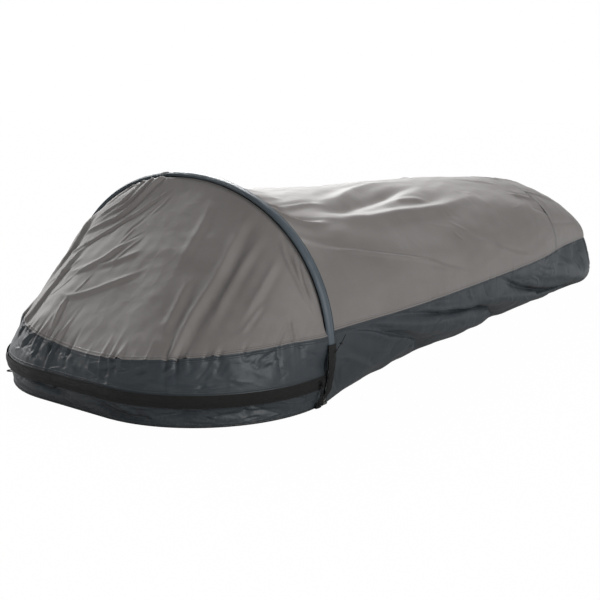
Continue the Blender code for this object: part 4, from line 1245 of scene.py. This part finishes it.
def makeSideWall(name, side, node, seed):
    def place(u, v):
        y = (cornerY + panel['frontEnd']) * u - panel['frontEnd']
        return Vector((side * sideHalf(max(y, 0.0), v), y, sack['seamHeight'] * v))

    points = gridOf(place, *wallPlan['size'])
    outward = outwardOf(points) * side
    folds = (wallFolds if side > 0 else leftFolds()) + scatterFolds(wallCreases)
    field = pressField(points, outward, folds, wallPlan, seed)
    up = metresAcross(points)[1]
    gathers = puckerField(points[..., 1], up[-1:] - up, sidePuckers[side], panel['sideReach'])
    field += gathers * edgeMask(points, wallPlan['endFade'], leftRight)
    points = points + outward * field[..., None]
    finishCloth(name, points, side < 0, allRound, 'tubCloth', node)


endFolds = foldsFrom([
    (-5, 9, 0.3, -0.5, (0.2, 0.85), (0.24, 0.5), (0.22, 0.2)),
    (5, 10, 0.3, 0.4, (0.38, 0.85), (0.41, 0.6), (0.45, 0.45)),
    (-4.5, 9, 0.3, -0.4, (0.62, 0.85), (0.6, 0.5), (0.56, 0.25)),
    (4.5, 9, 0.3, 0.4, (0.8, 0.8), (0.78, 0.4)),
])


endPlan = {'size': (50, 160), 'fade': ((0.012, lowHigh), (0.014, leftRight))}
endPlan['ripples'] = ((0.11, 0.0014, (1, 1, 1), endPlan['fade']),)
endCreases = {'seed': 241, 'count': 26, 'u': (0.03, 0.97), 'v': (0.12, 0.92), 'turn': 1.2, 'spread': 0.6,
              'size': (0.42, 0.155), 'reach': (0.010, 0.035), 'height': (0.0008, 0.0026), 'width': (0.0025, 0.0060)}


def footWallPlace(u, v):
    return footPlan(u, v) + Vector((0, 0, sack['seamHeight'] * v))


def makeFootWall():
    points = gridOf(footWallPlace, *endPlan['size'])
    outward = outwardOf(points)
    field = pressField(points, outward, endFolds + scatterFolds(endCreases), endPlan, 61)
    finishCloth('footWallCloth', points + outward * field[..., None], False, allRound, 'tubCloth',
                'tub_wall_foot')


floorPlan = {'size': (180, 60), 'inset': 0.004, 'sideInset': 0.0015, 'ripple': (71, 0.14, 0.0012), 'fade': 0.03}


def floorPlace(u, v):
    low, high = sack['frontY'] - sack['frontRadius'] + floorPlan['inset'], sack['length'] - floorPlan['inset']
    y = low + (high - low) * v
    if y < -panel['frontEnd']:
        rise = max(sack['frontRadius'] ** 2 - (y - sack['frontY']) ** 2, 0.0)
        half = sack['frontX'] + sqrt(rise)
    elif y > cornerY:
        part = min((y - cornerY) / sack['footCorner'], 1)
        half = smoothThrough(floorStations, cornerY) - sack['footCorner'] * (1 - sqrt(1 - part * part))
    else:
        half = smoothThrough(floorStations, max(y, 0.0))
    return Vector(((half - floorPlan['sideInset']) * (1 - 2 * u), y, panel['floorLift']))


def makeFloorCloth():
    points = gridOf(floorPlace, *floorPlan['size'])
    points[..., 2] += np.abs(ripple(points, *floorPlan['ripple'])) * edgeMask(points, floorPlan['fade'], allRound)
    finishCloth('floorCloth', points, False, allRound, 'tubCloth', 'floor_sheet')


makeHood()
makeBand()
makeFrontWall()
makeTop('bodyTopCloth', bodyPlace, (330, 240), bodyFolds + scatterFolds(bodyCreases), footLap['step'],
        'body_canopy', 41)
makeTop('footTopCloth', footPanelPlace, (90, 220), footFolds, 0.0, 'foot_panel', 45)
makeSideWall('sideWallRightCloth', 1, 'tub_wall_right', 51)
makeSideWall('sideWallLeftCloth', -1, 'tub_wall_left', 53)
makeFootWall()
makeFloorCloth()
print('cloth panels ready')


# ---- tubes and bands
def ringMesh(name, loops, closed):
    array = np.array([[tuple(point) for point in loop] for loop in loops])
    rows, count = array.shape[:2]
    faces = []
    for j in range(rows if closed else rows - 1):
        far = (j + 1) % rows
        for i in range(count):
            k = (i + 1) % count
            faces.append((j * count + i, j * count + k, far * count + k, far * count + i))
    if not closed:
        faces.append(tuple(range(count))[::-1])
        faces.append(tuple((rows - 1) * count + i for i in range(count)))
    around = np.concatenate([[0], np.cumsum(np.linalg.norm(np.diff(array[0], axis=0), axis=1))])
    along = np.concatenate([[0], np.cumsum(np.linalg.norm(np.diff(array.mean(axis=1), axis=0), axis=1))])
    metres = np.stack([np.repeat(along, count), np.tile(around, rows)], axis=-1)
    plain = np.zeros(rows * count)
    piece = meshPiece(name, array.reshape(-1, 3) + np.array((0, hoopY, 0)), faces, metres, (plain, plain))
    piece.data.set_sharp_from_angle(angle=radians(50))
    return fixOutward(piece)


def fixOutward(piece):
    made = bmesh.new()
    made.from_mesh(piece.data)
    bmesh.ops.recalc_face_normals(made, faces=made.faces)
    made.to_mesh(piece.data)
    made.free()
    return piece


def tubeLoops(points, radius, sides=8):
    points = [Vector(point) for point in points]
    turns = [2 * pi * n / sides for n in range(sides)]
    loops = []
    side = None
    for k, point in enumerate(points):
        along = (points[min(k + 1, len(points) - 1)] - points[max(k - 1, 0)]).normalized()
        if side is None:
            side = along.orthogonal().normalized()
        side = (side - along * side.dot(along)).normalized()
        other = along.cross(side)
        loops.append([point + side * (cos(turn) * radius) + other * (sin(turn) * radius) for turn in turns])
    return loops


sleeve = {
    'foot': 0.129,
    'halfDepth': 0.0115,
    'halfHeight': 0.0069,
    'steps': 260,
    'sides': 28,
    'waves': 9,
    'waveSizes': (0.004, 0.02),
    'crinkle': 0.0005,
    'sink': 0.0004,
    'underside': 0.75,
    'dip': 0.35,
    'dipPower': 2.2,
    'depthPower': 0.75,
}
# name, distance from the pole's plane, inset from the arch, foot height, radius
pipings = (('sleevePipingFront', -0.0117, 0.0058, 0.078, 0.0012), ('sleevePipingRear', 0.0116, 0.0046, 0.131, 0.0008))
binding = {'outset': 0.0002, 'height': 0.0012, 'radius': 0.0011, 'tuck': 0.0014, 'tuckHalf': 0.018, 'start': 0.004}


def sleeveLoop(centre, normal, run, waves):
    loop = []
    for k in range(sleeve['sides']):
        turn = 2 * pi * k / sleeve['sides']
        c, s = cos(turn), sin(turn)
        crinkle = sum(sin(run / size + phase + 3 * turn * lean) for size, phase, lean in waves) / len(waves)
        high = sleeve['halfHeight'] * (c if c > 0 else sleeve['underside'] * c)
        high *= 1 - sleeve['dip'] * abs(s) ** sleeve['dipPower']
        deep = sleeve['halfDepth'] * abs(s) ** sleeve['depthPower'] * (1 if s > 0 else -1)
        rise = high - sleeve['sink'] + sleeve['crinkle'] * crinkle * abs(c)
        loop.append(centre + normal * rise + Vector((0, deep, 0)))
    return loop


def makeSleeve():
    start = hoopAngleAt(sleeve['foot'], sack['sleeveInset'])
    draw = np.random.default_rng(83)
    waves = [(draw.uniform(*sleeve['waveSizes']), draw.uniform(0, 6.28), draw.uniform(-1, 1))
             for k in range(sleeve['waves'])]
    loops = []
    run = 0.0
    last = hoopPoint(start, sack['sleeveInset'])
    for angle in np.linspace(start, pi - start, sleeve['steps'] + 1):
        centre = hoopPoint(angle, sack['sleeveInset'])
        run += (centre - last).length
        last = centre
        loops.append(sleeveLoop(centre, hoopNormal(angle, sack['sleeveInset']), run, waves))
    piece = paintOn(ringMesh('poleSleeveCloth', loops, False), 'sleeveCloth')
    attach(piece, 'shell')
    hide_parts('pole_sleeve')


def archLine(low, inset, y, steps):
    start = hoopAngleAt(low, inset)
    return [hoopPoint(angle, inset) + Vector((0, y, 0)) for angle in np.linspace(start, pi - start, steps + 1)]


def makePiping():
    for name, y, inset, low, radius in pipings:
        path = archLine(low, inset, y, sleeve['steps'])
        piece = paintOn(ringMesh(name, tubeLoops(path, radius), False), 'piping')
        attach(piece, 'shell')


def sideOutline(side, places):
    return [Vector((side * (smoothThrough(floorStations, y) + binding['outset']), y, 0)) for y in places]


def outlineLine():
    start = binding['start']
    front = [frontPlan(t, binding['outset'], start) for t in np.linspace(0, 1, 140)]
    left = sideOutline(-1, np.linspace(start, cornerY, 90)[1:-1])
    foot = [footPlan(t, 0) for t in np.linspace(1, 0, 60)]
    # tucked in under the peg loop
    foot = [point - Vector((0, binding['tuck'] * exp(-(point.x / binding['tuckHalf']) ** 2), 0)) for point in foot]
    right = sideOutline(1, np.linspace(cornerY, start, 90)[1:])
    return [point + Vector((0, 0, binding['height'])) for point in front + left + foot + right]


def makeBinding():
    piece = ringMesh('floorBinding', tubeLoops(outlineLine(), binding['radius']), False)
    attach(paintOn(piece, 'binding'), 'shell')


def makeTape(name, up, node, body):
    sign = 1 if up else -1
    rows = []
    for share in np.linspace(0, 1, zipBand['rows']):
        rise = zipBand['slit'] + (zipBand['half'] - zipBand['slit']) * share
        out = zipBand['lift'] + zipBand['cover'] * smoothStep(1.35 - share * 1.6)
        if up:   # the upper tape covers the slit
            rise -= zipBand['lap'] * (1 - share) ** 2
            out += zipBand['lapLift'] * (1 - share)
        rows.append((rise, out))

    def place(u, v):
        rise, out = rows[int(round(v * (zipBand['rows'] - 1)))]
        return frontPlan(u, sack['zipOut'] + out, zipBand['endGap']) + Vector((0, 0, sack['zipHeight'] + sign * rise))

    points = gridOf(place, zipBand['rows'], zipBand['columns'])
    field = ripple(points, *zipBand['ripple']) * edgeMask(points, zipBand['fade'])
    points = points - outwardOf(points) * sign * field[..., None]
    finishCloth(name, points, up, lowHigh, 'zipTape', node, body)


def makeZip():
    makeTape('zipTapeUpperCloth', True, 'zip_tape_upper', 'door')
    makeTape('zipTapeLowerCloth', False, 'zip_tape_lower', 'shell')
    coilLow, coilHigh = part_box('zip_teeth_upper')
    middle, tall = (coilLow[2] + coilHigh[2]) / 2, (coilHigh[2] - coilLow[2]) / 2
    turns = [2 * pi * k / zipBand['coilSides'] for k in range(zipBand['coilSides'])]
    loops = []
    for t in np.linspace(0, 1, zipBand['coilSteps']):
        centre = frontPlan(t, sack['zipOut'], zipBand['coilGap'])
        ahead = (frontPlan(t, sack['zipOut'] + 0.001, zipBand['coilGap']) - centre).normalized()
        loops.append([centre + ahead * (zipBand['coilHalf'] * cos(turn)) + Vector((0, 0, middle + tall * sin(turn)))
                      for turn in turns])
    coil = paintOn(ringMesh('zipCoilUpper', loops, False), 'zipCoil')
    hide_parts('zip_teeth_upper')
    onDoor(coil)


makeSleeve()
makePiping()
makeBinding()
makeZip()
print('sleeve, piping, binding and zip ready')


# ---- webbing at the pole's feet, and the cloth behind it
strap = {
    'top': 0.131,
    'wide': 0.0125,
    'narrow': 0.0088,
    'ahead': 0.0035,
    'footForward': 0.026,
    'thick': 0.0013,
    'columns': 13,
    'rows': 90,
    'foot': 0.004,        # height of its foot
    'tip': 0.97,          # the share of its length where it turns in
    'tipDrop': 0.0022,
    'tipHeight': 0.0042,
    'tipClear': 0.0115,
    'clear': 0.0006,
    'lean': 0.002,
    'crown': 0.0009,
    'wave': 0.0003,
}
strapFoot = {'low': 0.0018, 'rows': 24, 'columns': 9, 'length': 0.0170, 'bow': 0.010, 'rise': 0.0008, 'half': 0.0006,
             'taper': 0.25}


def strapCentre(side, share):
    tipX = hoopPoint(hoopAngleAt(strap['tipHeight'], sack['sleeveInset']), sack['sleeveInset']).x
    height = strap['top'] * (1 - share) + strap['foot'] * share
    if share > strap['tip']:
        height = strap['foot'] - strap['tipDrop'] * (share - strap['tip']) / (1 - strap['tip'])
    edge = hoopPoint(hoopAngleAt(height)).x + strap['clear']
    forward = strap['ahead'] + strap['lean'] * smoothStep((share - 0.55) / 0.45)
    forward += strap['footForward'] * smoothStep((share - 0.74) / 0.26) ** 1.5
    return Vector((side * max(edge, tipX + strap['tipClear']), -forward, height))


def makeStrap(name, side):
    across = np.linspace(-1, 1, strap['columns'])
    loops = []
    for share in np.linspace(0, 1, strap['rows']):
        centre = strapCentre(side, share)
        half = strap['wide'] + (strap['narrow'] - strap['wide']) * smoothStep((share - 0.12) / 0.5)
        crown = [strap['crown'] * (1 - a * a) + strap['wave'] * sin(share * 40 + a * 3) for a in across]
        outer = [centre + Vector((side * (c + strap['thick'] / 2), half * a, 0)) for a, c in zip(across, crown)]
        inner = [centre + Vector((side * (c - strap['thick'] / 2), half * a, 0)) for a, c in zip(across, crown)]
        loops.append(outer + inner[::-1])
    piece = paintOn(ringMesh('poleStrapWebbing_' + name, loops, False), 'webbing')
    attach(piece, 'shell')
    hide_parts('pole_strap_' + name)


def makeStrapFoot(name, side):
    # the end that turns in under the pole's tip
    end = strapCentre(side, 1.0)
    across = np.linspace(-1, 1, strapFoot['columns'])
    tail = []
    for share in np.linspace(0, 1, strapFoot['rows']):
        middle = Vector((side * (abs(end.x) - strapFoot['length'] * share), end.y - strapFoot['bow'] * share * share,
                         strapFoot['low'] + strapFoot['rise'] * (1 - share)))
        half = strap['narrow'] * (1 - strapFoot['taper'] * share)
        tail.append([middle + Vector((0, half * a, strapFoot['half'])) for a in across]
                    + [middle + Vector((0, half * a, -strapFoot['half'])) for a in across[::-1]])
    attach(paintOn(ringMesh('poleStrapFoot_' + name, tail, False), 'webbing'), 'shell')


gusset = {'size': (60, 24), 'start': 0.0098, 'inset': 0.0155, 'rim': 0.22, 'past': 0.02, 'lowest': 0.002}
zipEnd = {'size': (24, 16), 'from': 0.0090, 'run': 0.0150, 'low': 0.18, 'rise': 0.27, 'out': 0.0012, 'puff': 0.0008,
          'fade': 0.003}


def makeGusset(name, side):
    # cloth that joins the front to the side wall, behind the pole
    def place(u, v):
        height = sack['seamHeight'] * v
        y = gusset['start'] * (2 * u - 1)
        front = frontSurface(0.0 if side > 0 else 1.0, height, gusset['start']).x * side
        flat = front + (sideHalf(0.0, v) - front) * u
        rim = smoothStep(min(u, 1 - u) / gusset['rim'])
        edge = hoopPoint(hoopAngleAt(max(height, gusset['lowest']))).x
        middle = min(edge, flat + gusset['past']) - gusset['inset'] * rim * smoothStep(v / 0.06 + 0.2)
        return Vector((side * (flat + (middle - flat) * rim), y, height))

    finishCloth('poleGussetCloth_' + name, gridOf(place, *gusset['size']), side < 0, leftRight, 'tubCloth')


def makeZipEnd(name, side):
    # plain patch that covers the zip's end behind the webbing
    def place(u, v):
        y = zipEnd['from'] + zipEnd['run'] * u
        level = zipEnd['low'] + zipEnd['rise'] * v
        return Vector((side * (sideHalf(y, level) + zipEnd['out']), y, sack['seamHeight'] * level))

    points = gridOf(place, *zipEnd['size'])
    puff = zipEnd['puff'] * edgeMask(points, zipEnd['fade'], allRound)
    finishCloth('zipEndPatch_' + name, points + outwardOf(points) * side * puff[..., None], side < 0, allRound,
                'zipTape')


# ---- free cords, each along the route of its CAD solid
def cordCurve(name, path, diameter, finish):
    data = bpy.data.curves.new(name, 'CURVE')
    data.dimensions = '3D'
    data.bevel_depth = diameter / 2
    data.bevel_resolution = 5
    data.use_fill_caps = True
    line = data.splines.new('POLY')
    line.points.add(len(path) - 1)
    for point, place in zip(line.points, path):
        point.co = (place[0], place[1] + hoopY, place[2], 1)
    line.use_smooth = True
    return paintOn(addObject(name, data), finish)


def knotMesh(name, centre, size):
    # a small overhand knot of black cord
    path = []
    for t in np.linspace(0, 2 * pi, 70, endpoint=False):
        x = (sin(t) + 2 * sin(2 * t)) / 3
        y = (cos(t) - 2 * cos(2 * t)) / 3
        path.append(Vector(centre) + Vector((y, x, sin(3 * t) * 0.45)) * size)
    return paintOn(ringMesh(name, tubeLoops(path, size * 0.42), True), 'blackCord')


# routes are steps from where the cord leaves, in metres
strapTail = {'diameter': 0.0018, 'height': 0.115, 'clear': 0.0020, 'knotAt': 14, 'knot': 0.0024,
             'route': ((0, 0.004, 0.112), (0.0030, 0.010, 0.122), (0.0050, 0.020, 0.133), (0.0056, 0.032, 0.146))}
tieLoop = {'diameter': 0.0020, 'middle': (-0.045, -0.0205, 0.4560), 'wide': 0.0055, 'deep': 0.0072, 'tilt': 0.0012,
           'share': 0.88, 'tail': (0, 0.0045, 0.0005)}
pull = {'diameter': 0.0018, 'y': -0.034, 'face': 0.0040, 'gap': 0.0015, 'drop': 0.0010, 'tab': 0.0200, 'long': 0.012,
        'overlap': 0.0004, 'wide': 0.0032, 'share': 0.93, 'knotDrop': 0.0118, 'knot': 0.0021}


def makeStrapTail(name, side):
    stand = hoopPoint(hoopAngleAt(strapTail['height'])).x + strapTail['clear']
    path = [(side * (stand + p[0]), p[1], p[2]) for p in throughPath(strapTail['route'], 8)]
    piece = cordCurve('strapTailCord_' + name, path, strapTail['diameter'], 'blackCord')
    knot = knotMesh('strapTailKnot_' + name, path[strapTail['knotAt']], strapTail['knot'])
    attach(piece, 'shell')
    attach(knot, 'shell')
    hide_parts('strap_tail_' + name)


def makeTieLoop():
    middle, tail = Vector(tieLoop['middle']), Vector(tieLoop['tail'])
    path = []
    for t in np.linspace(-1.0, 1.0, 25):
        turn = -pi / 2 + t * pi * tieLoop['share']
        path.append(middle + Vector((tieLoop['wide'] * cos(turn), tieLoop['deep'] * sin(turn),
                                     tieLoop['tilt'] * sin(turn))))
    path = [path[0] + tail] + path + [path[-1] + tail]
    piece = cordCurve('tieLoopCord', path, tieLoop['diameter'], 'greyCord')
    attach(piece, 'shell')
    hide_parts('tie_loop')


stake = {'length': 0.026, 'width': 0.016, 'radius': 0.0014, 'turn': radians(-40), 'share': 0.95,
         'clear': 0.0004, 'lift': 0.0002}


def makeStakeLoop(name, base, outward, body):
    along = Vector((-outward.y, outward.x, 0))
    centre = base + outward * (stake['length'] / 2 + stake['clear'])
    centre.z += stake['radius'] + stake['lift']
    path = []
    for t in np.linspace(-1, 1, 33):
        turn = t * pi * stake['share']
        reach = (stake['length'] / 2 - stake['radius']) * cos(turn)
        wide = (stake['width'] / 2 - stake['radius']) * sin(turn)
        path.append(centre + outward * reach + along * wide)
    piece = cordCurve('stakeLoopCord_' + name, path, stake['radius'] * 2, 'blackCord')
    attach(piece, body)
    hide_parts('stake_loop_' + name)


def zipFrame(side, y):
    radius = sack['frontRadius'] + sack['zipOut']
    angle = asin((y - sack['frontY']) / radius)
    outward = Vector((side * cos(angle), sin(angle), 0))
    point = Vector((side * sack['frontX'], sack['frontY'], sack['zipHeight'])) + outward * radius
    return point, outward


def makePullCord(name, side):
    point, outward = zipFrame(side, pull['y'])
    up = Vector((0, 0, 1))
    pivot = point + outward * (pull['face'] + pull['gap']) - up * pull['drop']
    middle = pivot - up * (pull['tab'] + pull['long'] - pull['overlap'])
    path = []
    for t in np.linspace(-1, 1, 41):
        turn = t * pi * pull['share']
        path.append(middle + up * (pull['long'] * cos(turn)) + outward * (pull['wide'] * sin(turn)))
    piece = cordCurve('zipPullCord_' + name, path, pull['diameter'], 'blackCord')
    knot = knotMesh('zipPullKnot_' + name, middle - up * pull['knotDrop'], pull['knot'])
    for made in (piece, knot):
        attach(made, 'pull_' + name)
    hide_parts('zip_pull_cord_' + name)


for side, name in ((1, 'right'), (-1, 'left')):
    makeStrap(name, side)
    makeStrapFoot(name, side)
    makeGusset(name, side)
    makeZipEnd(name, side)
    makeStrapTail(name, side)
    makePullCord(name, side)
loopWay = Vector((-cos(stake['turn']), sin(stake['turn']), 0))
loopBase = Vector((-sack['frontX'], sack['frontY'], 0)) + loopWay * sack['frontRadius']
makeStakeLoop('front_left', loopBase, loopWay, 'loop_front_left')
makeStakeLoop('foot', Vector((0, sack['length'] + 0.0005, 0)), Vector((0, 1, 0)), 'loop_foot')
makeTieLoop()
print('webbing and cords ready')
